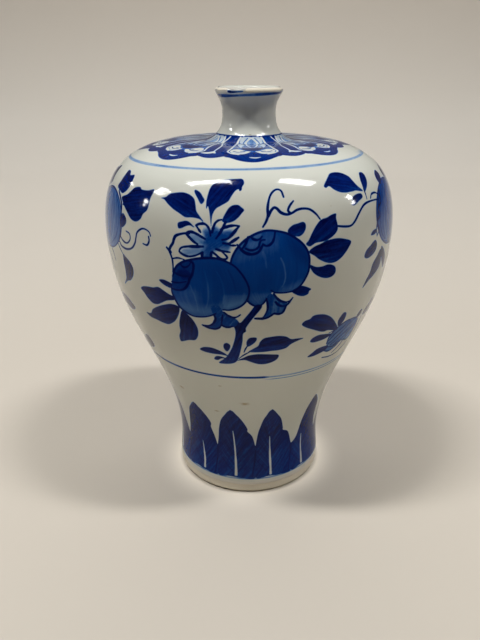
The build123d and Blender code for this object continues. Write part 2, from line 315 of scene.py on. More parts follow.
sprigLeaves = [
    [(55.8, 106.7), (57.3, 110.3), (62.2, 114.5), (64, 112.5), (62.9, 109.5), (59.5, 106.2)],
    [(50.5, 106.7), (50.3, 109.2), (52.1, 111.1), (53.5, 110.2), (53, 107.4)],
    [(20, 113.1), (21, 114.9), (23, 115.6), (24, 117), (26.1, 117.3), (29.3, 116.5), (32.6, 114.1),
     (35.7, 110.2), (38.4, 105.9), (37.4, 104.7), (33.2, 106.2), (31.2, 106), (29.1, 106.7),
     (25.4, 108.9), (22, 111)],
    [(38.4, 106.8), (37.3, 110.2), (38.1, 112.8), (39.3, 114.4), (41, 113.5), (41.2, 110.5),
     (40.3, 107.9)],
    [(25.6, 101.4), (26.5, 103.4), (29.1, 104.5), (32.8, 103.9), (35.8, 102.8), (33.7, 101),
     (30.2, 100.3), (27.3, 100.3)],
    [(27, 90.4), (28.8, 92.6), (30.8, 94.7), (33.9, 95.3), (37, 94.7), (36.3, 91.9), (32.7, 90.5),
     (29.6, 89.9)],
]
sprigLines = [
    (0.9, [(35.4, 96.7), (35.3, 101.1), (37, 104.2), (39.6, 106.6), (43.3, 108.2), (48.2, 108),
           (50.9, 107.4)]),
    (0.7, [(36.6, 95.9), (40.1, 99.2), (44.2, 103.2), (47.7, 106.1)]),
    (0.7, [(36, 98.4), (39.2, 102.3), (43.4, 105.6)]),
    (0.7, [(40.7, 93.6), (45.2, 95.6), (48.3, 99.5), (50.7, 103.5)]),
    (0.7, [(38.3, 94.6), (43.2, 98), (47.6, 102.2)]),
    (0.7, [(36.1, 94.1), (41.1, 92.7), (45.2, 94.3)]),
    (0.8, [(35.1, 92.1), (39, 90.1), (42.4, 91.4), (44.2, 93.4)]),
    (0.7, [(50.9, 107.4), (52.7, 104.5), (53.2, 99.8), (52.7, 95.5), (50.8, 93), (45.7, 94.7)]),
    (0.7, [(38.5, 104.9), (36.4, 104.5), (34.4, 104)]),
    (0.8, [(47.3, 93.3), (45.3, 90.1), (42.5, 87.2)]),
    (0.93, [(36.7, 86.4), (42, 85.2), (47.2, 85.7), (50, 87.9), (52.7, 91)]),
    (0.7, [(55.7, 105.6), (55.6, 98), (55.6, 90.6)]),
]
leftLeaves = [
    [(-61, 169.9), (-60.3, 172.5), (-59.9, 175.8), (-59.7, 178.7), (-57, 178.4), (-55.3, 176.7),
     (-52.4, 177.3), (-51.2, 174.8), (-51.2, 171.8), (-52.6, 169.2), (-54.8, 167.8), (-57.7, 168.6)],
    [(-54.3, 166.1), (-51.1, 167.8), (-49.2, 169.8), (-47.5, 171.8), (-44.7, 172.5), (-43, 171.6),
     (-39.7, 171.7), (-36.9, 172.6), (-36.8, 171), (-37.3, 168.7), (-37.4, 166.1), (-37.8, 163.4),
     (-39.5, 161.4), (-40.5, 159.1), (-42.8, 157.5), (-45.8, 158), (-48.7, 160.5), (-52, 163.4)],
    [(-52.6, 157.4), (-51.4, 159.4), (-49, 157.7), (-48.8, 155.5), (-50.8, 153.3), (-52.7, 153.2),
     (-53.2, 155.4)],
    [(-52, 140.3), (-50, 139.5), (-47.5, 137.8), (-46.1, 135.4), (-46.6, 131.8), (-49.2, 128.4),
     (-51.8, 127.2), (-55.7, 124.1), (-52.7, 128.2), (-52, 132.5), (-52.1, 136.4)],
    [(-64.5, 115.8), (-59.4, 116.3), (-55.3, 114.6), (-52.8, 111.9), (-57, 109.2), (-61.2, 109.7),
     (-65.5, 111.3)],
    [(-55.8, 93.9), (-52.1, 92.4), (-52.8, 87.2), (-61.1, 83), (-67, 83.5)],
]
leftLines = [
    (1.04, [(-58.6, 168.5), (-55.5, 165.8), (-52.9, 161.8), (-53, 155.9), (-52.7, 150.5),
            (-54.3, 145.8)]),
    (0.93, [(-53.2, 149), (-51, 147), (-48.3, 146.6), (-46.2, 148.7), (-46.4, 151.2), (-48.7, 152)]),
    (1.04, [(-53.9, 146), (-52.2, 144.1), (-48.6, 143.7), (-45.3, 145.1), (-43.3, 147.9), (-42.6, 150.7),
            (-42, 152.9), (-40, 154.8), (-38, 155.2), (-36, 154.3), (-35.3, 152.7)]),
    (1.04, [(-36.2, 152.3), (-36, 150.4), (-37, 148.4), (-39, 148.6)]),
    (0.7, [(-55.4, 144.6), (-53.3, 141.9), (-51.7, 139.9)]),
    (0.93, [(-63, 140.2), (-61.3, 137.8), (-60.2, 134.7)]),
    (1.04, [(-67.2, 136.8), (-65.2, 132.9), (-65.4, 128.1)]),
    (0.93, [(-72.4, 172.1), (-72.4, 174.9), (-72.4, 177.3)]),
    (0.93, [(-52.3, 163.3), (-47.3, 163.2), (-43.8, 164.1)]),
]
rightLeaves = [
    [(28.5, 175.3), (30.3, 177.5), (32.1, 179.4), (34.1, 181.1), (37, 181.4), (39.8, 180.6),
     (42.5, 178.4), (43.3, 176.2), (44.6, 173.2), (46.8, 170.3), (42.9, 171.2), (40.6, 171.1),
     (37.4, 171.1), (34.7, 171.7), (32.3, 173.2), (30.7, 175), (29.1, 174.3)],
    [(50.4, 178.8), (52.7, 178.6), (53, 176.6), (51.9, 173.7), (49.7, 171.2), (47.6, 169.9), (47.7, 173),
     (48.4, 175.8)],
    [(39.1, 166.7), (40.2, 168.7), (42.8, 169.6), (45.1, 169.4), (45.4, 167.8), (42.8, 166.5),
     (40.3, 165.2), (38.8, 165.4)],
    [(44.9, 141), (45.5, 143.6), (47.8, 145.3), (51.1, 147.2), (52.8, 145.3), (52.5, 142.6),
     (50.5, 140.8), (47.2, 139.8)],
    [(47.2, 124.9), (48.5, 128.6), (50.3, 132), (51.5, 136.1), (54.7, 139.5), (56.6, 141.3),
     (58.3, 136.8), (57.9, 132.4), (54.3, 129.6), (50.3, 127.5)],
    [(48.1, 150.3), (49.4, 151.8), (51.6, 152.2), (52.4, 151), (50.2, 150)],
    [(65.9, 177.5), (67.3, 174.9), (65.3, 172), (62.6, 170.6), (60.9, 172.9), (62.1, 175.9)],
    [(85.9, 180.4), (84.8, 175.8), (83, 172), (76.8, 170.6), (72.8, 173.1), (74.5, 176.8)],
    [(57.3, 142.6), (60.8, 139.5), (63.6, 134.5), (63.4, 129.9), (59.6, 134.9), (57.5, 139.6)],
]
rightLines = [
    (1.0, [(58.2, 168.5), (57.9, 165.8), (57.4, 163.1), (54.3, 161), (55.2, 157.6), (52.7, 155.1),
           (54, 151.5), (52.6, 148.8)]),
    (1.04, [(58.7, 168.4), (55.4, 163.1), (53.6, 158), (52.1, 152.5), (52.5, 148.7)]),
    (1.16, [(30.9, 157.8), (34.3, 157), (37.1, 156.9), (39.2, 158.4), (41.7, 161.4), (44.5, 164),
            (47.2, 165), (50.8, 165.2), (55.5, 164.9)]),
    (0.93, [(50.2, 166.4), (51.6, 168), (54.6, 168.1), (57.3, 166.4)]),
    (0.75, [(47.5, 171.1), (47.7, 168.7), (47.7, 166.5)]),
    (0.93, [(66.4, 144.6), (68.6, 140.9), (69.9, 136)]),
]
washes = {
    "fruitL": [(-27.5, 132.6), (-26.4, 138.5), (-24.2, 142.5), (-21.5, 144.5), (-18.9, 145.2),
               (-16.5, 146), (-13.7, 146.5), (-10.4, 146.5), (-7.4, 145.4), (-4.8, 143.6), (-2.9, 141),
               (-1.3, 137.9), (-0.2, 134.7), (0, 131.9), (-0.5, 128.5), (-1.7, 126.1), (-3.8, 124),
               (-6.6, 122.8), (-9.4, 122.6), (-12, 120.2), (-14, 118.9), (-17.1, 117.9), (-20.6, 117.8),
               (-23.2, 119.4), (-25.7, 122), (-27.1, 125.8), (-27.8, 128.6)],
    "fruitR": [(-5.8, 144.8), (-4.8, 148.7), (-3.5, 151.7), (-1.6, 154.2), (1, 156.4), (3.6, 157.8),
               (6.1, 158.4), (9.1, 158), (12.1, 157), (14.7, 155.2), (17.1, 152.9), (18.9, 150.2),
               (20, 147.1), (20.3, 144), (20.1, 140), (19, 136.5), (17.7, 133.9), (16, 131.8),
               (13.9, 131.1), (11.2, 130.9), (8.1, 131.6), (7.1, 129.8), (5.4, 127.4), (4.1, 125.5),
               (2.4, 125), (0.4, 126.3), (-0.5, 128), (0, 131.9), (-0.2, 134.7), (-1.3, 137.9),
               (-2.9, 141), (-4.8, 143.6)],
    "sprig": [(35.3, 97.1), (35.3, 101.1), (37, 104.2), (39.6, 106.6), (43.3, 108.2), (48.2, 108),
              (50.9, 107.4), (52.7, 104.5), (53.2, 99.8), (52.7, 95.5), (50.8, 93), (45.7, 94.7),
              (43.3, 92.4), (40.2, 90.3), (36.9, 90.6), (34.9, 92.5), (35.9, 94.5)],
    "flower": [(-15.1, 157.6), (-13.7, 159), (-12.4, 157.8), (-11.4, 159.9), (-9.7, 158.8), (-8.7, 158.1),
               (-6.4, 158.6), (-4.5, 157.8), (-6.1, 155.3), (-7.1, 154.1), (-5.8, 152), (-6.7, 149.9),
               (-9.3, 150.2), (-11.3, 149.2), (-12.4, 146.6), (-15.1, 146.3), (-15.4, 148.9),
               (-17.8, 148.2), (-15, 151), (-16, 152.6), (-14.7, 154.4)],
    "petal1": [(-19.6, 156), (-17.5, 156), (-15.4, 154.7), (-14.3, 153.6), (-15.7, 151.8), (-17.4, 152.5),
               (-19.2, 154.1)],
    "petal2": [(-22.9, 148.6), (-21, 149.8), (-18.1, 150.5), (-15, 150.6), (-15.4, 148.9), (-17.5, 147.4),
               (-20, 146.7), (-21.8, 147.2)],
    "calyxL": [(-13.3, 123.7), (-11.8, 124.7), (-10.4, 124.6), (-9.4, 122.6), (-8.1, 120.1), (-6, 118.6),
               (-4.6, 118.2), (-3.9, 116.6), (-4.7, 114.3), (-6.6, 113.4), (-8.4, 113.2), (-10, 114.2),
               (-11.9, 112), (-14.2, 111.9), (-15.7, 112.8), (-13.6, 114.3), (-12.3, 117), (-12.3, 119.4),
               (-13.1, 121.2)],
    "calyxR": [(5.8, 128.9), (7, 131.2), (8.1, 130.2), (9.5, 128.1), (11.4, 126.5), (13.2, 125.8),
               (13.6, 125.2), (13, 123.2), (12.4, 121.2), (10.6, 120.4), (8.8, 120.6), (7.4, 119.1),
               (5.3, 118.4), (6, 121.3), (6.6, 123.8), (6.3, 126.9)],
    "crownL": [(-26.4, 138), (-24.6, 141.5), (-22.7, 143.4), (-20.4, 144.2), (-18.8, 143.9),
               (-18.7, 141.5), (-19.2, 138.3), (-20.7, 134.8), (-22.3, 131.7), (-25.1, 130.2),
               (-27.1, 130.7), (-27.1, 134.6)],
    "crownLdark": [(-25, 138.3), (-22.8, 140.7), (-20.9, 140.3), (-19.7, 138.7), (-20.6, 136.2),
                   (-22.3, 136.2), (-23.8, 137.1)],
}
frontTints = [  # change of ink, softness, outline
    (-0.16, 2.6, [(-26.7, 123.8), (-21.2, 123), (-15.5, 123.4), (-10.4, 124.6), (-7.2, 126.3), (-2, 128),
                  (-2, 125.5), (-6.6, 123.3), (-12.1, 119.7), (-17.1, 117.9), (-22.5, 119)]),
    (-0.07, 3, [(-26.1, 129), (-21.1, 131.9), (-17.5, 130.6), (-17.2, 124.7), (-21.4, 120.8),
                (-25.2, 123.2)]),
    (-0.1, 0.8, [(-8.4, 129.9), (-4.7, 130.4), (-0.7, 130.7), (-1, 127.6), (-3.1, 124.5), (-6.6, 123.1),
                 (-8.6, 123.7)]),
    (0.07, 4, [(-17.6, 143.4), (-12.7, 144.8), (-6.8, 143.5), (-2.9, 139.2), (-1, 133.8), (-4.3, 131.3),
               (-9.1, 130.6), (-11.7, 135.1), (-16.3, 139.1)]),
    (0.17, 3, [(12.7, 155.8), (15.7, 153.9), (18.2, 151.1), (19.6, 147.5), (19.9, 143.1), (17.9, 144.3),
               (15.4, 147.2), (13.4, 151.6)]),
    (-0.13, 2.4, [(10.4, 131.9), (13.1, 133.5), (15.9, 134.6), (18.3, 135.7), (17.4, 133), (15, 131.4),
                  (12.6, 130.7)]),
    (-0.1, 2, [(0.3, 130), (3, 130.9), (6.4, 130.8), (5.4, 127.4), (3.1, 125.3), (0.7, 126.6)]),
    (-0.06, 3, [(-3.5, 150.4), (-0.3, 154.6), (4.2, 157), (8.1, 157.3), (10, 154.3), (8.7, 150.2),
                (3.5, 147.9), (-1, 145.4), (-4.2, 145.3)]),
    (0.06, 2.5, [(4.2, 141), (6.8, 141.7), (7.6, 136.3), (5.7, 132.7), (2.3, 132.8), (3, 137.4)]),
    (-0.1, 0.5, [(-3.2, 153.4), (-1.9, 154.8), (-0.8, 155.4), (-1.3, 153.4), (-2.4, 151.3)]),
    (-0.12, 0.5, [(0.8, 156.2), (2.3, 157.2), (3.9, 157.4), (3.9, 156), (2.6, 155), (1.5, 155.4)]),
    (-0.07, 0.5, [(-0.3, 153.8), (1.3, 154.2), (2.9, 154), (2.9, 152.1), (1.3, 151.1), (-0.3, 151.5)]),
]
frontMarks = [  # width, change of ink, path
    (0.7, -0.13, [(10.4, 146.7), (11.3, 144.1), (11.8, 141.4), (12.1, 138.7), (11.8, 136), (11, 133.7)]),
    (0.93, -0.07, [(-14.9, 141.1), (-14, 136.7), (-13.7, 132.1), (-14.1, 127.1), (-15.1, 123)]),
    (0.81, -0.09, [(-10.5, 140.6), (-9.2, 137.1), (-8.5, 133.5), (-8.4, 129.7), (-8.9, 125.7)]),
    (0.87, -0.06, [(-20.2, 133.5), (-19.1, 128.9), (-18.4, 124.5), (-18.3, 120.9)]),
    (1.28, -0.06, [(4.5, 149.6), (5.2, 146.6), (5.8, 142.7)]),
    (0.93, 0.06, [(15.5, 144.6), (15.9, 141), (15.8, 136.5)]),
    (0.93, 0.07, [(-6.8, 141.7), (-5.2, 137.3), (-4.3, 132.3)]),
]
leafBrush = {"ink": 0.91, "low": 0.76, "rim": 0.05, "bristle": 1.2}
frontBrush = {
    "fruitR": {"ink": 0.59, "axis": "globe", "bristle": 0.12},
    "fruitL": {"ink": 0.59, "axis": "globe", "bristle": 0.12},
    "crownL": {"ink": 0.7, "bristle": 0.3},
    "crownLdark": {"ink": 0.86, "soft": 0.4, "bristle": 0.3},
    "flower": {"ink": 0.58, "soft": 1.3, "bristle": 0.25},
    "petal1": {"ink": 0.36, "soft": 0.6, "bristle": 0.25},
    "petal2": {"ink": 0.36, "soft": 0.6, "bristle": 0.25},
    "calyxL": {"ink": 0.6, "soft": 0.2, "mode": "set"},
    "calyxR": {"ink": 0.55, "soft": 0.2, "mode": "set"},
    "tints": 0.75, "marks": 0.6,  # how much of the changes of ink shows
}


def paintFront(turn=0.0):
    at = lambda path: placed(path, turn)

    def wash(*names):
        for name in names:
            fill(at(washes[name]), **frontBrush[name])

    wash("fruitR", "fruitL")
    for change, soft, path in frontTints:
        fill(at(path), frontBrush["tints"] * change, soft=soft, mode="tint")
    for width, change, path in frontMarks:
        line(at(path), width, ink=frontBrush["marks"] * change, **tintLine)
    wash("crownL", "crownLdark", "flower", "petal1", "petal2")
    for path in frontLeaves + footLeaves:
        fill(at(path), **leafBrush)
    wash("calyxL", "calyxR")
    for width, path in frontLines:
        line(at(path), width)


sprigBrush = {"flower": {"ink": 0.5, "low": 0.4, "soft": 0.3},
              "leaf": {"ink": 0.86, "bristle": 1.0}, "lineInk": 0.84}


def paintSprig(turn=0.0):
    fill(placed(washes["sprig"], turn), **sprigBrush["flower"])
    for path in sprigLeaves:
        fill(placed(path, turn), **sprigBrush["leaf"])
    for width, path in sprigLines:
        line(placed(path, turn), width, ink=sprigBrush["lineInk"])


# Fruits as bearing, middle, half width, half height and ink. Leaves and lines repeat on the far side of a
# fruit where they stand clear of it by so many degrees and lie within reach of its middle
sideSpray = {
    "left": (-66.0, 154.4, 14.4, 14.2, 0.5), "right": (68.0, 157.0, 15.6, 15.5, 0.58), "mirror": 94,
    "outline": {"width": 0.8, "ink": 0.8}, "ribs": 3, "ribWidth": 0.6, "ribInk": (-0.1, 0.14),
    "leaf": {"ink": 0.9, "low": 0.78, "rim": 0.05, "bristle": 1.2}, "lineInk": 0.9,
    "leafClear": 4, "leafFrom": 120, "lineClear": 2, "reach": 23, "farReach": 18,
}


def paintSideFruit(bearing, up, wide, tall, ink):
    s = sideSpray
    around = np.linspace(0, fullTurn, 16, endpoint=False)
    oval = [(bearing + wide * math.cos(a), up + tall * math.sin(a)) for a in around]
    fill(oval, ink, low=0.88 * ink, axis="globe", bristle=0.3)
    line(oval + oval[:1], **s["outline"])
    for k in range(-s["ribs"], s["ribs"] + 1):
        bow = [(bearing + wide * 0.27 * k * math.sqrt(1 - t * t) + 1.5 * t, up + tall * 0.92 * t)
               for t in (-0.9, -0.5, 0, 0.5, 0.9)]
        line(bow, s["ribWidth"], ink=s["ribInk"][k % 2], **tintLine)


def paintSide(leaves, lines, fruit, across=None):
    # one fruit with leaves on both sides of it, or the same mirrored across a bearing
    s = sideSpray
    clearBy = lambda path: abs(fruit[0]) - max(abs(a) for a, u in path)
    paintSideFruit(fruit[0] if across is None else 2 * across - fruit[0], *fruit[1:])
    for mirror in (None, fruit[0]):
        at = lambda path: placed(placed(path, mirror=mirror), mirror=across)
        for path in leaves:
            if mirror is None or path[0][1] > s["leafFrom"] and clearBy(path) > s["leafClear"]:
                fill(at(path), **s["leaf"])
        for width, path in lines:
            reach = s["reach"] if mirror is None else s["farReach"] * (clearBy(path) > s["lineClear"])
            whole = mirror is None and across is None
            if whole or max(abs(a - fruit[0]) for a, u in path) < reach:
                line(at(path), width, ink=s["lineInk"])


# Collar of lappets round the neck: radii in mm, and the ink of its ground and of the lines left white
collar = {"bearing": 2.4, "count": 8, "top": 16.3, "ground": 0.74, "white": 0.03, "panel": 0.5,
          "outline": 0.72, "wideLobe": (15.4, 47.5, 53.0), "slimLobe": (9.0, 47.3, 49.6), "tilt": 2.2,
          "crowd": 24.0}


def collarSpot(bearing, radius):
    # the collar was painted a little off the axis, and at the neck its panels crowd towards the back
    out = radius - collar["top"]
    sway = math.sin(math.radians(bearing))
    crowded = bearing + collar["crowd"] * sway * max(0, 1 - out / 30)**2
    return crowded, shoulderUp(radius - collar["tilt"] * sway * out / 37)


def mirrored(half):
    # an outline from its right half
    return half + [(-x, y) for x, y in half[::-1] if x]


def paintLobe(bearing, half, notch, tip):
    rise = tip - notch
    right = [(0.14, tip), (0.45, notch + 0.76 * rise), (0.78, notch + 0.3 * rise), (1, notch),
             (1.03, 40), (1.03, 30), (1.03, 20), (1.03, 17), (0.5, collar["top"])]
    left = [(-b, r) for b, r in right[::-1]]
    outer = left[5:] + right + left[:5]  # starts at the left notch
    edge = [collarSpot(bearing + half * b, r) for b, r in outer]
    fill(edge, collar["ground"], rim=0.16, axis="globe", bristle=0.5)


def paintLappet(onAxis):
    # a lotus in a white frame, in mm across and mm out from the axis of the vase
    bare = {"ink": collar["white"], "mode": "set"}
    whiteLine = {**bare, "taper": (0.8, 1.0, 0.8)}
    pencil = {"width": 0.5, "ink": collar["outline"]}
    panel = [(3.4, 16.6), (4.6, 19), (6.4, 27), (8.4, 35), (9, 38), (2, 43)]
    fill(onAxis(mirrored(panel)), collar["panel"], soft=0.3, mode="set", bristle=0.5)
    for side in (-1, 1):
        at = lambda points: onAxis(points, side=side)
        base = [(0.2, 16.8), (3.2, 16.6), (4, 19), (4, 21.4), (2.2, 24), (0.2, 24)]
        fill(at(base), 0.14, soft=0.3, mode="set")
        line(at([(1.2, 17.2), (2.6, 20), (3.2, 24)]), 0.5, ink=0.6)
        petal = [(5.9, 27.3), (4.3, 22.6), (3, 28.5), (2.2, 35.2), (3.8, 36.8), (5.3, 34)]
        fill(at(petal), 0.12, mode="set")
        line(at(petal + petal[:1]), **pencil)
        fill(at([(3.2, 30), (2.4, 35), (3.8, 36.4), (4.4, 33)]), 0.4, soft=0.3)
        border = [(3.5, 16.4), (4.6, 18.8), (6.5, 27), (8.7, 35.2), (10.6, 40), (10.8, 41.6), (9.2, 43.9),
                  (6.4, 45.5)]
        line(at(border), 1.1, **whiteLine)
        curl = [(1, 42.2), (2.8, 41.6), (4.3, 39.8), (6.3, 37.9), (8.4, 38.2), (10, 40.6), (9, 43.4),
                (6.4, 45.2), (3.4, 45)]
        fill(at(curl), **bare)
        line(at([(8.4, 41), (6.6, 42.6), (4.4, 42.6), (3.4, 41.8), (5.4, 41.4)]), 0.7, ink=0.7)
        line(at([(8.8, 42.6), (6.4, 44.4), (3.2, 44.2)]), 0.4, ink=0.3)
    middle = [(0, 17), (1.7, 20), (2.1, 26), (1.9, 31), (0.6, 34.6)]
    fill(onAxis(mirrored(middle)), 0.36, mode="set")
    for side in (-1, 1):
        line(onAxis(middle, side=side), 0.7, **whiteLine)
    fill(onAxis(mirrored([(0, 24), (1.2, 29), (0.5, 34.4)])), 0.6, soft=0.4)
    fill(onAxis(mirrored([(0, 35.4), (1.4, 36), (4.1, 34.2), (4.6, 36.6), (2.4, 40.2)])), 0.88)
    crescent = [(-2.1, 48.8), (-0.9, 49.7), (0.7, 50), (2.1, 49.7), (3.3, 48.7), (1.9, 49), (0.6, 49.1),
                (-0.8, 48.9)]
    fill(onAxis(crescent), **bare)


def paintFlank(onAxis, way):
    # a plain flank with one white line that ends in a tick
    bare = {"ink": collar["white"], "mode": "set"}
    stem = [(0.7, 16.6), (2.2, 20.8), (0.6, 30), (0.1, 36), (0.4, 42.8)]
    line(onAxis(stem, side=way), 0.9, taper=(0.8, 1.0, 0.8), **bare)
    tick = [(0.1, 42.4), (2.6, 43.6), (5.8, 44.6), (2.8, 45.6), (0, 44.8), (-1.2, 45.2)]
    fill(onAxis(tick, side=way), **bare)
    for x in (-3.4, 3.6):
        line(onAxis([(0.6 + 0.6 * x, 17), (x, 24), (0.9 * x, 34), (x, 42)]), 0.6, ink=-0.14, **tintLine)


def paintCollar():
    pitch = 360 / collar["count"]
    middles = [collar["bearing"] + pitch * k for k in range(collar["count"])]
    for middle in middles:
        paintLobe(middle, *collar["wideLobe"])
        paintLobe(middle + pitch / 2, *collar["slimLobe"])
    for k, middle in enumerate(middles):
        lean = 1 + 0.04 * math.sin(3 * k)

        def plan(bearing):
            def onAxis(points, side=1):
                return [collarSpot(bearing + math.degrees(math.atan2(side * lean * x, y)), math.hypot(x, y))
                        for x, y in points]
            return onAxis

        paintLappet(plan(middle))
        paintFlank(plan(middle + pitch / 2), 1 if k < collar["count"] / 2 else -1)


# Plantain leaves round the foot: bearing of the rib, its top and the edge of the leaf. Three sets go round
plantain = {"top": 0.85, "low": 0.7, "bottom": 5.5, "sets": (0, 120, 240), "veins": 9, "leaves": [
    (-38.0, 23.5, [(-54.8, 23), (-51.8, 30), (-48.6, 39.4), (-45.4, 45.6), (-39.3, 51.5), (-34.2, 47.2),
                   (-28.7, 40.1), (-29.2, 36.3), (-27.2, 30.7), (-24.7, 23.1)]),
    (-10.7, 36.5, [(-24.7, 23.1), (-23, 29.4), (-21.1, 38.2), (-18.1, 45.2), (-12, 52.4), (-7, 47.3),
                   (-1.9, 39.3), (-1.6, 36.7), (2, 33), (4.2, 27), (5.2, 25)]),
    (16.4, 32.0, [(5.2, 25), (6.3, 30.4), (7.8, 37.7), (10.7, 46.3), (15, 52.5), (21.6, 44.5), (24.6, 37.4),
                  (25.3, 34.8), (30, 32.4), (33.8, 24.3), (35.2, 22.8)]),
    (46.0, 26.5, [(35.2, 22.8), (40.2, 27), (43.5, 38.9), (46.6, 47.6), (50.5, 52.7), (57.7, 44.7),
                  (60.2, 34.6), (62.4, 28.5), (65.2, 23)])]}


def paintPlantainLeaf(edge, turn):
    left, right = edge[0][0], edge[-1][0]
    middle = 0.5 * (left + right)
    low = plantain["bottom"]
    foot = [(right, 15), (right, low), (middle + 4, low - 0.3), (middle - 5, low + 0.2), (left, low),
            (left, 15)]
    fill(placed(edge + foot, turn), plantain["top"], low=plantain["low"], axis="slant", bristle=0.8)


def paintPlantainLines(rib, ribTop, edge, turn):
    for k in range(plantain["veins"]):
        start = 8.5 + 3.7 * k
        reach = 0.95 - 0.08 * k
        for side in (-1, 1):
            vein = [(rib + side * 1.2, start), (rib + side * 6 * reach, start + 3.6),
                    (rib + side * 12 * reach, start + 9)]
            line(placed(vein, turn), 0.6, ink=-0.1 if k % 3 else 0.1, **tintLine)
    spine = [(rib + 0.7, 6.8), (rib + 0.6, 12), (rib - 0.1, 0.7 * ribTop), (rib - 0.9, ribTop)]
    line(placed(spine, turn), 1.4, ink=0.06, mode="set", taper=(1, 0.9, 0.3))
    left = edge[0][0]
    line(placed([(left, 23.2), (left - 0.8, 15), (left - 2.8, 6)], turn), 0.8, ink=0.94, soft=0.3)
    tip = max(range(len(edge)), key=lambda i: edge[i][1])
    line(placed(edge[:tip + 1], turn), 0.8, ink=0.9)
    line(placed(edge[tip:], turn), 0.8, ink=0.9)


# Bands round the vase: mm up the wall, width, ink
bands = {"neck": (248.7, 1.5, 0.5), "collar": (shoulderUp(collar["top"]), 0.7, 0.75),
         "shoulder": (186.1, 1.5, 0.31), "waist": (79.5, 1.6, 0.62), "waistThin": (77.6, 0.8, 0.5),
         "foot": (4.9, 0.8, 0.34)}
bandShades = {  # bearing, strength of the ink
    "neck": ((-180, 1), (-90, 1.3), (-30, 1.25), (-5, 0.95), (12, 1), (28, 1.4), (60, 1.4), (120, 1.1),
             (180, 1)),
    "waist": ((-180, 0.9), (-60, 0.9), (-20, 1), (7, 1), (10, 0.45), (70, 0.4), (120, 0.8), (180, 0.9)),
    "waistThin": ((-180, 0), (5, 0), (12, 0.7), (75, 0.7), (100, 0), (180, 0)),
}

paintFront()
paintFront(180.0)
paintSprig()
paintSprig(180.0)
for leaves, lines, fruit, across in ((leftLeaves, leftLines, sideSpray["left"], -sideSpray["mirror"]),
                                     (rightLeaves, rightLines, sideSpray["right"], sideSpray["mirror"])):
    paintSide(leaves, lines, fruit)
    paintSide(leaves, lines, fruit, across)
    for path in footLeaves:
        fill(placed(path, across), **leafBrush)
# a slip of the brush on the lip
line([(-36, 250.3), (-29, 250.1), (-22, 250.2)], 1.1, ink=0.98, soft=0.3)
line([(-24, 250.2), (-17, 250.3), (-10, 250.5)], 0.8, ink=0.66, soft=0.3)
paintCollar()
for turn in plantain["sets"]:
    for rib, ribTop, edge in plantain["leaves"]:
        paintPlantainLeaf(edge, turn)
for turn in plantain["sets"]:
    for rib, ribTop, edge in plantain["leaves"]:
        paintPlantainLines(rib, ribTop, edge, turn)
ring(*bands["neck"], tilt=0.9, shade=bandShades["neck"])
ring(*bands["collar"])
ring(*bands["shoulder"], tilt=1.8, soft=0.3)
ring(*bands["waist"], shade=bandShades["waist"])
ring(*bands["waistThin"], shade=bandShades["waistThin"])
ring(*bands["foot"])
print("strokes", len(strokes))


# Painted glaze: a flat sheet of triangles that follows every brush edge, later wrapped on the outline.
# Steps and gaps between its points in mm, and the heights up the wall where it is cut into courses
glazeSheet = {"wideStep": 2.2, "fillStep": 1.3, "edgeGap": 0.14, "fillGap": 0.8, "fillClear": 0.45,
              "wideClear": 0.9, "rowHeight": 0.87, "sharpest": 0.35, "cuts": [60.0, 188.6],
              "courses": ("glazeFoot", "glazeBody", "glazeShoulder"), "cutStep": 1.5, "cutClear": 0.4}
glazeWear = {"foot": 4.4, "fade": 0.8}  # mm up the wall where the glaze is rubbed dull
cubeBase = 10000  # more cubes than the vase has along any side
batch = 3000  # points measured at a time


def onWall(p):
    # mm positions of sheet points (radians around, flat height)
    up = unflat(p[:, 1])
    r = radiusAt(up)
    return np.column_stack([r * np.sin(p[:, 0]), -r * np.cos(p[:, 0]), heightAt(up)])


def cubes(xyz, size, spread=False):
    # one number for the small cube that holds each position, and for the cubes beside it
    c = np.floor(xyz / size).astype(np.int64) + cubeBase // 2
    if spread:
        steps = np.array([(i, j, k) for i in (-1, 0, 1) for j in (-1, 0, 1) for k in (-1, 0, 1)])
        c = (c[:, None, :] + steps[None]).reshape(-1, 3)
    return (c[:, 0] * cubeBase + c[:, 1]) * cubeBase + c[:, 2]


def thinned(points, size):
    keep = np.unique(cubes(onWall(points), size), return_index=True)[1]
    return points[np.sort(keep)]


def awayFrom(points, others, size):
    taken = np.unique(cubes(onWall(others), size, spread=True))
    return points[~np.isin(cubes(onWall(points), size), taken)]


def sideways(path, closed):
    if closed:
        ends = np.vstack([path[-1:], path, path[:1]])
    else:
        ends = np.vstack([2 * path[0] - path[1], path, 2 * path[-1] - path[-2]])
    along = ends[2:] - ends[:-2]
    along /= np.maximum(np.linalg.norm(along, axis=1), 1e-12)[:, None]
    return np.column_stack([along[:, 1], -along[:, 0]])


def edgePoints(s):
    p = s["path"]
    r = radiusAt(unflat(p[:, 1]))
    n = sideways(p, s["closed"])
    if s["closed"]:
        sharp = s["soft"] <= glazeSheet["sharpest"]
        rows = [-s["soft"] + 0 * r, s["soft"] + 0 * r] if sharp else []
    else:
        rows = [k * np.maximum(s["half"] + e, 0.03) for k in (-1, 1) for e in (-s["soft"], s["soft"])]
    found = [np.zeros((0, 2))] + [p + n * (d / r)[:, None] for d in rows]
    if not s["closed"]:
        for i, way in ((0, -1), (-1, 1)):  # a round of points closes each end of a line
            reach = (s["half"][i] + s["soft"]) / r[i]
            turn = np.radians([-70, -35, 0, 35, 70])[:, None]
            found.append(p[i] + reach * (way * np.cos(turn) * (-n[i, 1], n[i, 0]) + np.sin(turn) * n[i]))
    return np.vstack(found)


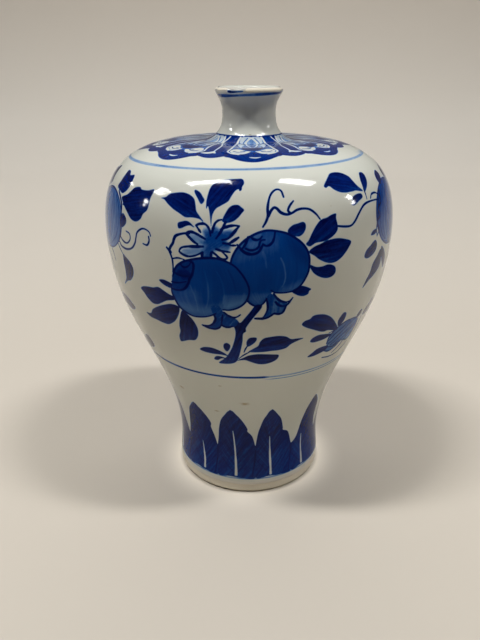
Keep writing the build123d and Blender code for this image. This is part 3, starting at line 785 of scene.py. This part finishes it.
def pathDistance(v, path, closed):
    # nearest distance from points to a path, with the place along it and the side
    a = path if closed else path[:-1]
    ab = (np.roll(path, -1, axis=0) if closed else path[1:]) - a
    size = np.maximum((ab**2).sum(1), 1e-18)
    best, place, side = np.zeros((3, len(v)))
    for lo in range(0, len(v), batch):
        q = v[lo:lo + batch, None, :] - a[None]
        t = np.clip((q * ab).sum(2) / size, 0, 1)
        d = np.linalg.norm(q - t[..., None] * ab, axis=2)
        k = d.argmin(1)
        n = np.arange(len(k))
        best[lo:lo + batch] = d[n, k]
        place[lo:lo + batch] = k + t[n, k]
        side[lo:lo + batch] = np.sign(ab[k, 0] * q[n, k, 1] - ab[k, 1] * q[n, k, 0])
    return best, place, side


def insidePath(v, path):
    hit = np.zeros(len(v), bool)
    x, y = v[:, 0], v[:, 1]
    for (x0, y0), (x1, y1) in zip(path, np.roll(path, -1, axis=0)):
        if y0 != y1:
            hit ^= ((y0 > y) != (y1 > y)) & (x < (x1 - x0) * (y - y0) / (y1 - y0) + x0)
    return hit


def wrapTurn(turn, middle=0.0):
    # the same bearings within half a turn of the middle
    return (turn - middle + math.pi) % fullTurn - math.pi + middle


def nearby(points, path, margin):
    # indices of points round a path, and those points turned next to it
    near = np.column_stack([wrapTurn(points[:, 0], path[:, 0].mean()), points[:, 1]])
    m = margin / radiusAt(unflat(path[:, 1])).min()
    k = np.nonzero(((near >= path.min(0) - m) & (near <= path.max(0) + m)).all(1))[0]
    return k, near[k]


def wideGrid(step):
    rows = []
    heights = np.arange(wallStart + step, wallEnd - 0.4 * step, step * glazeSheet["rowHeight"])
    for i, up in enumerate(heights):
        n = max(40, int(fullTurn * radiusAt(up) / step))
        turn = (np.arange(n) + 0.5 * (i % 2)) * 2 * math.pi / n - math.pi
        jitter = dice.uniform(-0.12, 0.12, (n, 2)) * step
        rows.append(np.column_stack([turn + jitter[:, 0] / radiusAt(up), flat(up + jitter[:, 1])]))
    return np.vstack(rows)


def fillGrid(s, step):
    p = s["path"]
    r = radiusAt(unflat(p[:, 1])).mean()
    low, high = p.min(0), p.max(0)
    rows = []
    for i, y in enumerate(np.arange(low[1], high[1], step * glazeSheet["rowHeight"] / r)):
        x = np.arange(low[0] + (i % 2) * 0.5 * step / r, high[0], step / r)
        rows.append(np.column_stack([x, np.full(len(x), y)]))
    g = np.vstack(rows)
    g = g + dice.uniform(-0.1, 0.1, g.shape) * step / r
    return g[insidePath(g, p)]


def gathered(sets):
    p = np.vstack(sets)
    return np.column_stack([wrapTurn(p[:, 0]), p[:, 1]])


edges = thinned(gathered([edgePoints(s) for s in strokes]), glazeSheet["edgeGap"])
fills = gathered([fillGrid(s, glazeSheet["fillStep"]) for s in strokes if s["closed"]])
fills = awayFrom(thinned(fills, glazeSheet["fillGap"]), edges, glazeSheet["fillClear"])
taken = np.vstack([edges, fills])
wide = awayFrom(wideGrid(glazeSheet["wideStep"]), taken, glazeSheet["wideClear"])
sheetPoints = np.vstack([taken, wide])
print("sheet points", len(edges), len(fills), len(wide))


def brushPlace(s, v, r, d, place, side):
    # mm across and along the brush marks of a stroke
    if s["axis"] == "path":
        return d * side, place * strokeStep["line"]
    middle = s["path"].mean(0)
    rel = (v - middle) * r[:, None]
    spread = (s["path"] - middle) * radiusAt(unflat(middle[1]))
    if s["axis"] == "long":
        axis = np.linalg.svd(spread, full_matrices=False)[2][0]
    else:
        axis = np.array([0.55, 0.83] if s["axis"] == "slant" else [0.0, 1.0])
    across, along = rel @ np.array([axis[1], -axis[0]]), rel @ axis
    if s["axis"] == "globe":
        across = across / np.sqrt(np.clip(1 - (along / (np.abs(spread[:, 1]).max() + 0.5))**2, 0.15, 1))
    return across, along


def inkAt(points):
    # cobalt in the glaze at sheet points, with the brush direction for its streaks
    r = radiusAt(unflat(points[:, 1]))
    ink = np.zeros(len(points))
    brush = np.zeros((len(points), 3))
    bristle = np.zeros(len(points))
    for number, s in enumerate(strokes):
        reach = (0 if s["closed"] else s["half"].max()) + s["soft"] + 0.2
        k, v = nearby(points, s["path"], reach)
        if not len(k):
            continue
        d, place, side = pathDistance(v, s["path"], s["closed"])
        d = d * r[k]
        if s["closed"]:
            d = np.where(insidePath(v, s["path"]), -d, d)
        else:
            d = d - np.interp(place, np.arange(len(s["half"])), s["half"])
        cover = np.clip((s["soft"] - d) / (2 * s["soft"]), 0, 1)
        cover = cover * cover * (3 - 2 * cover)
        low, high = s["path"][:, 1].min(), s["path"][:, 1].max()
        t = np.clip((v[:, 1] - low) / max(high - low, 1e-9), 0, 1)
        tone = s["low"] + (s["ink"] - s["low"]) * np.clip(t * 1.6, 0, 1)
        tone = tone + s["rim"] * np.exp(np.minimum(d, 0) / 0.5)
        if s["shade"] is not None:
            tone = tone * np.interp(place, np.arange(len(s["shade"])), s["shade"])
        if s["mode"] == "tint":
            ink[k] = np.clip(ink[k] + tone * cover, 0, 1)
            continue
        laid = ink[k] * (1 - cover) + tone * cover
        ink[k] = laid if s["mode"] == "set" else np.maximum(ink[k], laid)
        across, along = brushPlace(s, v, r[k], d, place, side)
        on = cover > 0.5
        brush[k[on]] = np.column_stack([across, along, np.full(len(k), number * 7.3)])[on]
        bristle[k[on]] = s["bristle"]
    return ink, brush, bristle


def ringRow(up, step):
    n = int(fullTurn * radiusAt(up) / step)
    return np.column_stack([np.arange(n) * 2 * math.pi / n - math.pi, np.full(n, flat(up))])


def sheetBetween(low, high):
    # triangles of the sheet between two heights, closed round the vase
    f = sheetPoints[:, 1]
    gap = glazeSheet["cutClear"] / radiusAt(np.array([low, high]))
    body = sheetPoints[(f > flat(low) + gap[0]) & (f < flat(high) - gap[1])]
    p = np.vstack([ringRow(low, glazeSheet["cutStep"]), ringRow(high, glazeSheet["cutStep"]), body])
    lap = 0.3  # radians past the seam at the back, where points stand twice
    left, right = p[:, 0] > math.pi - lap, p[:, 0] < -math.pi + lap
    every = np.vstack([p, p[left] - [fullTurn, 0], p[right] + [fullTurn, 0]])
    owner = np.concatenate([np.arange(len(p)), np.nonzero(left)[0], np.nonzero(right)[0]])
    made = delaunay_2d_cdt([Vector(q) for q in every.tolist()], [], [], 0, 1e-9, True)
    place = np.array([o[0] if o else -1 for o in made[3]])
    tri = place[np.array(made[2])]
    tri = tri[(tri >= 0).all(1)]
    centre = every[tri, 0].mean(1)
    tri = owner[tri[(centre >= -math.pi) & (centre < math.pi)]]
    good = (tri[:, 0] != tri[:, 1]) & (tri[:, 1] != tri[:, 2]) & (tri[:, 0] != tri[:, 2])
    return p, tri[good]


def wrapTree():
    # wraps a flat sheet round the axis, along an outline curve
    tree = bpy.data.node_groups.new("wrapOnOutline", "GeometryNodeTree")
    io = tree.interface
    for label, way, kind in (("Geometry", "INPUT", "Geometry"), ("Outline", "INPUT", "Object"),
                             ("Material", "INPUT", "Material"), ("Geometry", "OUTPUT", "Geometry")):
        io.new_socket(label, in_out=way, socket_type="NodeSocket" + kind)
    add, join = tree.nodes.new, tree.links.new
    start, end = add("NodeGroupInput"), add("NodeGroupOutput")
    info, sample = add("GeometryNodeObjectInfo"), add("GeometryNodeSampleCurve")
    sample.mode = "LENGTH"
    sample.use_all_curves = True
    place = add("GeometryNodeInputPosition")
    split, spot = add("ShaderNodeSeparateXYZ"), add("ShaderNodeSeparateXYZ")
    join(start.outputs["Outline"], info.inputs["Object"])
    join(info.outputs["Geometry"], sample.inputs["Curves"])
    join(place.outputs[0], split.inputs[0])
    join(split.outputs["Y"], sample.inputs["Length"])
    join(sample.outputs["Position"], spot.inputs[0])
    across = []
    for kind, sign in (("SINE", 1.0), ("COSINE", -1.0)):
        turn, size, signed = add("ShaderNodeMath"), add("ShaderNodeMath"), add("ShaderNodeMath")
        turn.operation, size.operation, signed.operation = kind, "MULTIPLY", "MULTIPLY"
        signed.inputs[1].default_value = sign
        join(split.outputs["X"], turn.inputs[0])
        join(turn.outputs[0], size.inputs[0])
        join(spot.outputs["X"], size.inputs[1])
        join(size.outputs[0], signed.inputs[0])
        across.append(signed.outputs[0])
    where, move = add("ShaderNodeCombineXYZ"), add("GeometryNodeSetPosition")
    join(across[0], where.inputs["X"])
    join(across[1], where.inputs["Y"])
    join(spot.outputs["Z"], where.inputs["Z"])
    real, paint = add("GeometryNodeRealizeInstances"), add("GeometryNodeSetMaterial")
    join(start.outputs["Geometry"], move.inputs["Geometry"])
    join(where.outputs[0], move.inputs["Position"])
    join(move.outputs[0], real.inputs[0])
    join(real.outputs[0], paint.inputs["Geometry"])
    join(start.outputs["Material"], paint.inputs["Material"])
    join(paint.outputs[0], end.inputs[0])
    return tree


def addObject(name, data):
    made = bpy.data.objects.new(name, data)
    bpy.context.scene.collection.objects.link(made)
    return made


def wrapped(name, points, tri, outlineObject, tree, material):
    sheet = bpy.data.meshes.new(name + "Sheet")
    up = unflat(points[:, 1])
    co = np.column_stack([points[:, 0], (up - wallStart) * mm, np.zeros(len(points))])
    sheet.from_pydata(co.tolist(), [], tri.tolist())
    ink, brush, bristle = inkAt(points)
    worn = np.clip((glazeWear["foot"] - up) / glazeWear["fade"], 0, 1)
    for label, values in (("bristle", bristle), ("worn", worn), ("cobalt", ink)):
        sheet.attributes.new(label, "FLOAT", "POINT").data.foreach_set("value", values.astype(np.float32))
    marks = sheet.attributes.new("brush", "FLOAT_VECTOR", "POINT")
    marks.data.foreach_set("vector", brush.astype(np.float32).ravel())
    holder = addObject(name + "Sheet", sheet)
    mod = holder.modifiers.new("wrap", "NODES")
    mod.node_group = tree
    given = {"Outline": outlineObject, "Material": material}
    for item in tree.interface.items_tree:
        if item.in_out == "INPUT" and item.name in given:
            mod[item.identifier] = given[item.name]
    bpy.context.view_layer.update()
    mesh = bpy.data.meshes.new_from_object(holder.evaluated_get(bpy.context.evaluated_depsgraph_get()))
    bpy.data.objects.remove(holder)
    mesh.name = name
    slope = np.gradient(outline, outlineUp, axis=0)
    nr, nz = np.interp(up, outlineUp, slope[:, 1]), -np.interp(up, outlineUp, slope[:, 0])
    normal = np.column_stack([nr * np.sin(points[:, 0]), -nr * np.cos(points[:, 0]), nz])
    normal /= np.hypot(nr, nz)[:, None]
    mesh.normals_split_custom_set_from_vertices(normal.tolist())
    return addObject(name, mesh)


# Shaders
def nodeGroup(name, inputs, outputs):
    tree = bpy.data.node_groups.new(name, "ShaderNodeTree")
    for way, sockets in (("INPUT", inputs), ("OUTPUT", outputs)):
        for label, kind in sockets.items():
            tree.interface.new_socket(label, in_out=way, socket_type="NodeSocket" + kind)
    return tree, tree.nodes.new("NodeGroupInput").outputs, tree.nodes.new("NodeGroupOutput").inputs


def setOrLink(tree, socket, value):
    if isinstance(value, (int, float)):
        socket.default_value = value
    elif isinstance(value, tuple):
        socket.default_value = (*value, 1.0)
    else:
        tree.links.new(value, socket)


def mathNode(tree, kind, *values, clamp=False):
    n = tree.nodes.new("ShaderNodeMath")
    n.operation = kind
    n.use_clamp = clamp
    for socket, value in zip(n.inputs, values):
        setOrLink(tree, socket, value)
    return n.outputs[0]


def times(tree, first, *others):
    for other in others:
        first = mathNode(tree, "MULTIPLY", first, other)
    return first


def between(tree, value, start, full):
    # 0 at the start and 1 at the full value
    return mathNode(tree, "MULTIPLY_ADD", value, 1 / (full - start), -start / (full - start), clamp=True)


def noiseNode(tree, vector, scale, detail=3.0, roughness=0.5):
    n = tree.nodes.new("ShaderNodeTexNoise")
    n.inputs["Scale"].default_value = scale
    n.inputs["Detail"].default_value = detail
    n.inputs["Roughness"].default_value = roughness
    tree.links.new(vector, n.inputs["Vector"])
    return n.outputs["Fac"]


def vectorNode(tree, kind, vector, value=None):
    n = tree.nodes.new("ShaderNodeVectorMath")
    n.operation = kind
    tree.links.new(vector, n.inputs[0])
    if value is not None:
        n.inputs[1].default_value = value
    return n.outputs["Value" if kind == "LENGTH" else "Vector"]


def splitNode(tree, vector):
    n = tree.nodes.new("ShaderNodeSeparateXYZ")
    tree.links.new(vector, n.inputs[0])
    return n.outputs


def mixColour(tree, factor, a, b):
    n = tree.nodes.new("ShaderNodeMix")
    n.data_type = "RGBA"
    for number, value in ((0, factor), (6, a), (7, b)):
        setOrLink(tree, n.inputs[number], value)
    return n.outputs[2]


def rampNode(tree, factor, stops):
    n = tree.nodes.new("ShaderNodeValToRGB")
    while len(n.color_ramp.elements) < len(stops):
        n.color_ramp.elements.new(0.5)
    for e, (at, colour) in zip(n.color_ramp.elements, stops):
        e.position = at
        e.color = (*colour, 1.0)
    tree.links.new(factor, n.inputs[0])
    return n.outputs[0]


porcelain = {"white": (0.648, 0.654, 0.59), "grey": (0.612, 0.619, 0.555), "worn": (0.68, 0.64, 0.57),
             "gloss": 0.06, "glossVaries": 0.05, "wornDull": 0.4, "ior": 1.36,
             "pinhole": (0.16, 0.13, 0.1), "pinholes": 0.035, "pinholeSize": 0.055, "pinholeDepth": 0.12,
             "swell": 55.0, "ripple": 420.0, "rippleDepth": 0.34}


def glazeSkin():
    # porcelain under clear glaze: its colour, pinholes and the faint swell of its surface
    p = porcelain
    tree, given, made = nodeGroup("glazeSkin", {"Place": "Vector"},
                                  {"Colour": "Color", "Height": "Float", "Roughness": "Float"})
    place = given["Place"]
    colour = mixColour(tree, noiseNode(tree, place, 28.0, 4.0), p["white"], p["grey"])
    spots = tree.nodes.new("ShaderNodeTexVoronoi")
    spots.inputs["Scale"].default_value = 130.0
    tree.links.new(place, spots.inputs["Vector"])
    split = tree.nodes.new("ShaderNodeSeparateColor")
    tree.links.new(spots.outputs["Color"], split.inputs[0])
    few = mathNode(tree, "GREATER_THAN", split.outputs[0], 1 - p["pinholes"])
    size = times(tree, split.outputs[1], p["pinholeSize"])
    small = mathNode(tree, "LESS_THAN", spots.outputs["Distance"], size)
    dots = times(tree, few, small)
    tree.links.new(mixColour(tree, times(tree, dots, 0.75), colour, p["pinhole"]), made["Colour"])
    ripple = times(tree, noiseNode(tree, place, p["ripple"], 1.0), p["rippleDepth"])
    swell = mathNode(tree, "ADD", noiseNode(tree, place, p["swell"], 1.0), ripple)
    tree.links.new(mathNode(tree, "SUBTRACT", swell, times(tree, dots, p["pinholeDepth"])), made["Height"])
    patchy = noiseNode(tree, place, 160.0, 2.0)
    tree.links.new(mathNode(tree, "MULTIPLY_ADD", patchy, p["glossVaries"], p["gloss"]), made["Roughness"])
    return tree


cobalt = {"streaks": (0.75, 0.07, 1.0), "mottle": 0.3, "colours": [
    (0.0, (0.62, 0.63, 0.575)), (0.12, (0.46, 0.53, 0.58)), (0.25, (0.26, 0.38, 0.56)),
    (0.4, (0.07, 0.18, 0.42)), (0.58, (0.0, 0.045, 0.25)), (0.8, (0.0, 0.012, 0.135)),
    (1.0, (0.0, 0.002, 0.05))]}


def brushInk():
    # cobalt wash: streaks along the brush and mottling in the glaze, as a colour over porcelain
    tree, given, made = nodeGroup("brushInk", {"Place": "Vector", "Brush": "Vector", "Ink": "Float",
                                               "Bristle": "Float", "Ground": "Color"}, {"Colour": "Color"})
    ink = given["Ink"]
    stretched = vectorNode(tree, "MULTIPLY", given["Brush"], cobalt["streaks"])
    streak = mathNode(tree, "SUBTRACT", noiseNode(tree, stretched, 1.0, 3.0, 0.6), 0.5)
    mottle = noiseNode(tree, given["Place"], 700.0, 3.0)
    mottle = mathNode(tree, "MULTIPLY_ADD", mottle, cobalt["mottle"], -0.5 * cobalt["mottle"])
    # a thin or a full wash shows fewer brush marks
    spare = mathNode(tree, "SUBTRACT", 1.12, ink)
    room = mathNode(tree, "MULTIPLY", times(tree, ink, spare), 2.6, clamp=True)
    wander = times(tree, mathNode(tree, "ADD", streak, mottle), given["Bristle"], room)
    colour = rampNode(tree, mathNode(tree, "ADD", ink, wander, clamp=True), cobalt["colours"])
    shown = mathNode(tree, "MULTIPLY", ink, 8.0, clamp=True)
    tree.links.new(mixColour(tree, shown, given["Ground"], colour), made["Colour"])
    return tree


def newMaterial(name):
    m = bpy.data.materials.new(name)
    m.use_nodes = True
    t = m.node_tree
    t.nodes.clear()
    out, shader = t.nodes.new("ShaderNodeOutputMaterial"), t.nodes.new("ShaderNodeBsdfPrincipled")
    t.links.new(shader.outputs[0], out.inputs[0])
    return m, t, shader, t.nodes.new("ShaderNodeTexCoord").outputs["Object"]


def useGroup(tree, group, **links):
    n = tree.nodes.new("ShaderNodeGroup")
    n.node_tree = group
    for label, source in links.items():
        tree.links.new(source, n.inputs[label])
    return n.outputs


def addBump(tree, shader, height, distance, strength):
    b = tree.nodes.new("ShaderNodeBump")
    b.inputs["Distance"].default_value = distance
    b.inputs["Strength"].default_value = strength
    tree.links.new(height, b.inputs["Height"])
    tree.links.new(b.outputs[0], shader.inputs["Normal"])


skinGroup, inkGroup = glazeSkin(), brushInk()

stains = {"colour": (0.36, 0.29, 0.17), "flatter": (1.0, 1.0, 2.4), "spots": [  # bearing, mm up, size
    (-45.2, 60.5, 2.6), (-2.4, 58.3, 3.2), (-21.1, 50.2, 1.6), (-15.4, 71.3, 1.3), (131.0, 62.0, 2.2),
    (-150.0, 96.0, 1.8), (-8.3, 252.2, 0.6), (21.9, 251.8, 0.5), (29.3, 166.4, 0.4), (-39.1, 145.7, 0.35),
    (-29.3, 143.6, 0.4), (3.7, 166.7, 0.4), (36.8, 195.8, 0.6), (1.8, 229.9, 0.8), (160.0, 150.0, 0.4)]}


def stained(tree, place, colour):
    # iron smudges under the glaze
    for bearing, up, size in stains["spots"]:
        spot = onWall(np.array([(math.radians(bearing), float(flat(up)))]))[0] * mm
        away = vectorNode(tree, "MULTIPLY", vectorNode(tree, "SUBTRACT", place, spot), stains["flatter"])
        far = mathNode(tree, "DIVIDE", vectorNode(tree, "LENGTH", away), size * mm)
        edge = mathNode(tree, "MULTIPLY_ADD", noiseNode(tree, place, 600.0, 2.0), 1.4, 0.35)
        cover = mathNode(tree, "SUBTRACT", edge, far, clamp=True)
        colour = mixColour(tree, cover, colour, stains["colour"])
    return colour


# Painted shade: belts where the glaze colour is darkened in place of shade on the belly, the neck and the
# lip
paintedShadeBelts = {"amount": 0.8, "belts": [  # metres up: start, full, fade, end; its colour
    (0.086, 0.106, 0.158, 0.176, (0.553, 0.552, 0.495)),
    (0.189, 0.1973, 0.2055, 0.208, (0.5, 0.479, 0.421)),
    (0.2072, 0.2084, 0.2105, 0.2115, (0.54, 0.51, 0.46)),
]}


def paintedShade(tree, place, colour):
    # painted shade: the glaze colour is darker on the belly, the neck and the lip, standing in for the
    # shade that falls there
    z = splitNode(tree, place)["Z"]
    for start, full, fade, end, shade in paintedShadeBelts["belts"]:
        rise, fall = between(tree, z, start, full), between(tree, z, end, fade)
        colour = mixColour(tree, times(tree, rise, fall, paintedShadeBelts["amount"]), colour, shade)
    return colour


def painted(t, place, colour, rough):
    attributes = {}
    for label, output in (("cobalt", "Fac"), ("brush", "Vector"), ("bristle", "Fac"), ("worn", "Fac")):
        n = t.nodes.new("ShaderNodeAttribute")
        n.attribute_name = label
        attributes[label] = n.outputs[output]
    colour = stained(t, place, paintedShade(t, place, colour))
    colour = useGroup(t, inkGroup, Place=place, Brush=attributes["brush"], Ink=attributes["cobalt"],
                      Bristle=attributes["bristle"], Ground=colour)["Colour"]
    worn = attributes["worn"]
    patchy = mathNode(t, "MULTIPLY_ADD", noiseNode(t, place, 300.0, 3.0), 1.6, -0.5)
    rubbed = mathNode(t, "MULTIPLY", mathNode(t, "ADD", worn, times(t, patchy, 0.3)), worn, clamp=True)
    dulled = mathNode(t, "MULTIPLY_ADD", rubbed, porcelain["wornDull"], rough)
    return mixColour(t, rubbed, colour, porcelain["worn"]), dulled


def glazeMaterial(name, isPainted):
    m, t, shader, place = newMaterial(name)
    skin = useGroup(t, skinGroup, Place=place)
    colour, rough = skin["Colour"], skin["Roughness"]
    if isPainted:
        colour, rough = painted(t, place, colour, rough)
    t.links.new(colour, shader.inputs["Base Color"])
    t.links.new(rough, shader.inputs["Roughness"])
    shader.inputs["IOR"].default_value = porcelain["ior"]
    addBump(t, shader, skin["Height"], 0.00012, 0.5)
    return m


def clayMaterial(name, pale, dark):
    m, t, shader, place = newMaterial(name)
    grain = noiseNode(t, place, 1500.0, 2.0)
    mixed = mixColour(t, noiseNode(t, place, 60.0, 5.0), pale, dark)
    t.links.new(mixColour(t, times(t, grain, 0.3), mixed, dark), shader.inputs["Base Color"])
    t.links.new(mathNode(t, "MULTIPLY_ADD", grain, 0.15, 0.75), shader.inputs["Roughness"])
    addBump(t, shader, grain, 0.0001, 0.4)
    return m


paintedGlaze = glazeMaterial("paintedGlaze", True)
plainGlaze = glazeMaterial("plainGlaze", False)
biscuitClay = clayMaterial("biscuitClay", (0.8, 0.74, 0.62), (0.7, 0.63, 0.5))
lutingSlip = clayMaterial("lutingSlip", (0.74, 0.7, 0.62), (0.62, 0.57, 0.48))

# Outer glaze in three courses, wrapped from the painted sheet
outlineCurve = bpy.data.curves.new("outline", "CURVE")
outlineCurve.dimensions = "3D"
spline = outlineCurve.splines.new("POLY")
spline.points.add(len(outline) - 1)
nil = np.zeros(len(outline))
outlinePoints = np.column_stack([outline[:, 0] * mm, nil, outline[:, 1] * mm, nil + 1])
spline.points.foreach_set("co", outlinePoints.ravel())
outlineObject = addObject("outline", outlineCurve)
tree = wrapTree()
levels = [wallStart] + glazeSheet["cuts"] + [wallEnd]
for name, low, high in zip(glazeSheet["courses"], levels[:-1], levels[1:]):
    points, tri = sheetBetween(low, high)
    piece = wrapped(name, points, tri, outlineObject, tree, paintedGlaze)
    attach(piece, "root")
    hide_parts("outer_glaze")
    print(name, len(points), "points", len(tri), "triangles")
bpy.data.objects.remove(outlineObject)

# The other pieces keep their solids and take fired-clay and glaze finishes
finishes = {"lower_section": biscuitClay, "upper_section": biscuitClay, "neck_section": biscuitClay,
            "body_luting_slip": lutingSlip, "neck_luting_slip": lutingSlip,
            "inner_glaze": plainGlaze, "base_glaze": plainGlaze}
for name, finish in finishes.items():
    nodes[name].data.materials.clear()
    nodes[name].data.materials.append(finish)
print("materials set")

# Stage: one pale sheet that runs from under the vase up behind it. The second group of values holds pairs
# of metres between which an effect grows from nothing to its full amount
stageSheet = {
    # near, far and top hold the sheet's colour with painted light: paler further back, darker again high up
    "near": (0.585, 0.534, 0.464), "far": (0.78, 0.733, 0.662), "top": (0.63, 0.568, 0.494),
    "glow": (0.24, 0.222, 0.192), "dark": (0.03, 0.03, 0.03), "seen": (0.56, 0.51, 0.44), "dimAbove": 0.6,
    "front": -2.5, "back": 1.0, "bend": 0.7, "height": 1.6, "side": 4.0,
    "farFrom": (0.19048, 1.14286), "topFrom": (1.46154, 2.23077), "darkAhead": (0.0625, -0.1875),
    "darkAbove": (0.1, 0.225), "fadeSideways": (0.7, 1.36667), "fadeForwards": (-0.33333, -1.0),
    "glowOuter": (0.06, 0.041818), "glowInner": (0.0406, 0.0426),
}


def paperMaterial():
    s = stageSheet
    m, t, shader, place = newMaterial("stagePaper")
    ray = t.nodes.new("ShaderNodeLightPath").outputs
    x, y, z = splitNode(t, place)
    # Painted light: the sheet's colour grows paler further back and darker again high up, standing in for
    # how the lamps light it
    along = mathNode(t, "ADD", mathNode(t, "ADD", y, z), times(t, noiseNode(t, place, 3.0, 2.0), 0.1))
    paper = mixColour(t, between(t, along, *s["farFrom"]), s["near"], s["far"])
    paper = mixColour(t, between(t, along, *s["topFrom"]), paper, s["top"])
    # the room in front of the vase is dark where the glaze mirrors it
    above = times(t, between(t, z, *s["darkAbove"]), s["dimAbove"])
    dimmed = mathNode(t, "MAXIMUM", between(t, y, *s["darkAhead"]), above)
    paper = mixColour(t, times(t, dimmed, ray["Is Glossy Ray"]), paper, s["dark"])
    # far from the vase the sheet fades into the room
    far = mathNode(t, "MAXIMUM", between(t, mathNode(t, "ABSOLUTE", x), *s["fadeSideways"]),
                   between(t, y, *s["fadeForwards"]))
    faded = times(t, far, ray["Is Camera Ray"])
    t.links.new(mixColour(t, faded, paper, (0.0, 0.0, 0.0)), shader.inputs["Base Color"])
    # light thrown on the sheet by the glazed foot
    reach = mathNode(t, "SQRT", mathNode(t, "ADD", times(t, x, x), times(t, y, y)))
    outer = between(t, reach, *s["glowOuter"])
    glow = times(t, outer, outer, between(t, reach, *s["glowInner"]))
    glow = mixColour(t, glow, (0.0, 0.0, 0.0), s["glow"])
    t.links.new(mixColour(t, faded, glow, s["seen"]), shader.inputs["Emission Color"])
    shader.inputs["Emission Strength"].default_value = 1.0
    shader.inputs["Roughness"].default_value = 0.8
    shader.inputs["Specular IOR Level"].default_value = 0.0
    return m


def makeStage():
    s = stageSheet
    a = np.linspace(0, math.pi / 2, 24)
    ys = np.concatenate([[s["front"]], s["back"] + s["bend"] * np.sin(a), [s["back"] + s["bend"]]])
    zs = np.concatenate([[0.0], s["bend"] * (1 - np.cos(a)), [s["height"]]])
    co = [(x, y, z) for y, z in zip(ys, zs) for x in (-s["side"], s["side"])]
    faces = [(2 * i, 2 * i + 1, 2 * i + 3, 2 * i + 2) for i in range(len(ys) - 1)]
    mesh = bpy.data.meshes.new("stageSheet")
    mesh.from_pydata(co, [], faces)
    mesh.shade_smooth()
    mesh.materials.append(paperMaterial())
    addObject("stageSheet", mesh)


makeStage()
print("stage set")

# Ceiling lights in a row overhead. The glaze mirrors the whole of each fitting, the rest of the light
# comes from its tubes
ceiling = {
    "height": 1.5, "colour": (1.0, 1.0, 0.99), "tubeOver": -0.26, "tubeDepth": 0.11, "mirrored": 42.0,
    "tubes": [  # place across, length, brightness
        (-0.57, 0.42, 96.0), (-0.33, 0.2, 27.0), (0.52, 0.32, 15.5), (0.66, 0.34, 92.0), (-1.9, 0.5, 4.0),
        (1.9, 0.5, 4.0)],
    "fittings": [  # place across and behind the vase, length, depth
        (-0.53, -0.165, 0.64, 0.23), (0.64, -0.11, 0.54, 0.27), (-1.9, -0.18, 0.64, 0.36),
        (3.2, -0.02, 0.8, 0.28), (4.5, -0.02, 0.8, 0.24), (-4.15, -0.05, 0.8, 0.28),
        (-5.4, -0.05, 0.8, 0.24), (-2.97, 1.7, 0.4, 0.4)],
}
backLight = {"place": (0.0, 1.2, 1.9), "size": (3.0, 0.6), "brightness": 2.7}


def panel(name, place, size, brightness, mirrored=False):
    lamp = bpy.data.lights.new(name, "AREA")
    lamp.shape = "RECTANGLE"
    lamp.size, lamp.size_y = size
    lamp.energy = math.pi * size[0] * size[1] * brightness
    lamp.color = ceiling["colour"]
    obj = addObject(name, lamp)
    obj.location = place
    obj.visible_glossy = mirrored
    obj.visible_diffuse = not mirrored


for i, (x, length, brightness) in enumerate(ceiling["tubes"]):
    place = (x, ceiling["tubeOver"], ceiling["height"])
    panel("tube%d" % i, place, (length, ceiling["tubeDepth"]), brightness)
for i, (x, y, length, depth) in enumerate(ceiling["fittings"]):
    panel("fitting%d" % i, (x, y, ceiling["height"]), (length, depth), ceiling["mirrored"], mirrored=True)
panel("backLight", backLight["place"], backLight["size"], backLight["brightness"])

# The room: dim where it lights the vase, and as pale as the sheet where it is seen past the sheet's edge
room = {"dim": (0.03, 0.029, 0.027), "seen": stageSheet["seen"]}
world = bpy.data.worlds.new("room")
bpy.context.scene.world = world
world.use_nodes = True
roomTree = world.node_tree
seen = roomTree.nodes.new("ShaderNodeLightPath").outputs["Is Camera Ray"]
roomColour = mixColour(roomTree, seen, room["dim"], room["seen"])
roomTree.links.new(roomColour, roomTree.nodes["Background"].inputs["Color"])
print("lights set")

# Camera: a little above the lip, looking down at the vase
view = {"distance": 0.3113, "height": 0.2191, "down": 22.96, "sensor": 36.0, "lens": 33.75, "shift": -0.014}
camera = bpy.data.cameras.new("camera")
camera.sensor_fit = "VERTICAL"
camera.sensor_height = view["sensor"]
camera.lens = view["lens"]
camera.shift_x = view["shift"]
eye = addObject("camera", camera)
eye.location = (0, -view["distance"], view["height"])
eye.rotation_euler = (math.radians(90 - view["down"]), 0, 0)
bpy.context.scene.camera = eye
bpy.context.scene.view_settings.view_transform = "Standard"
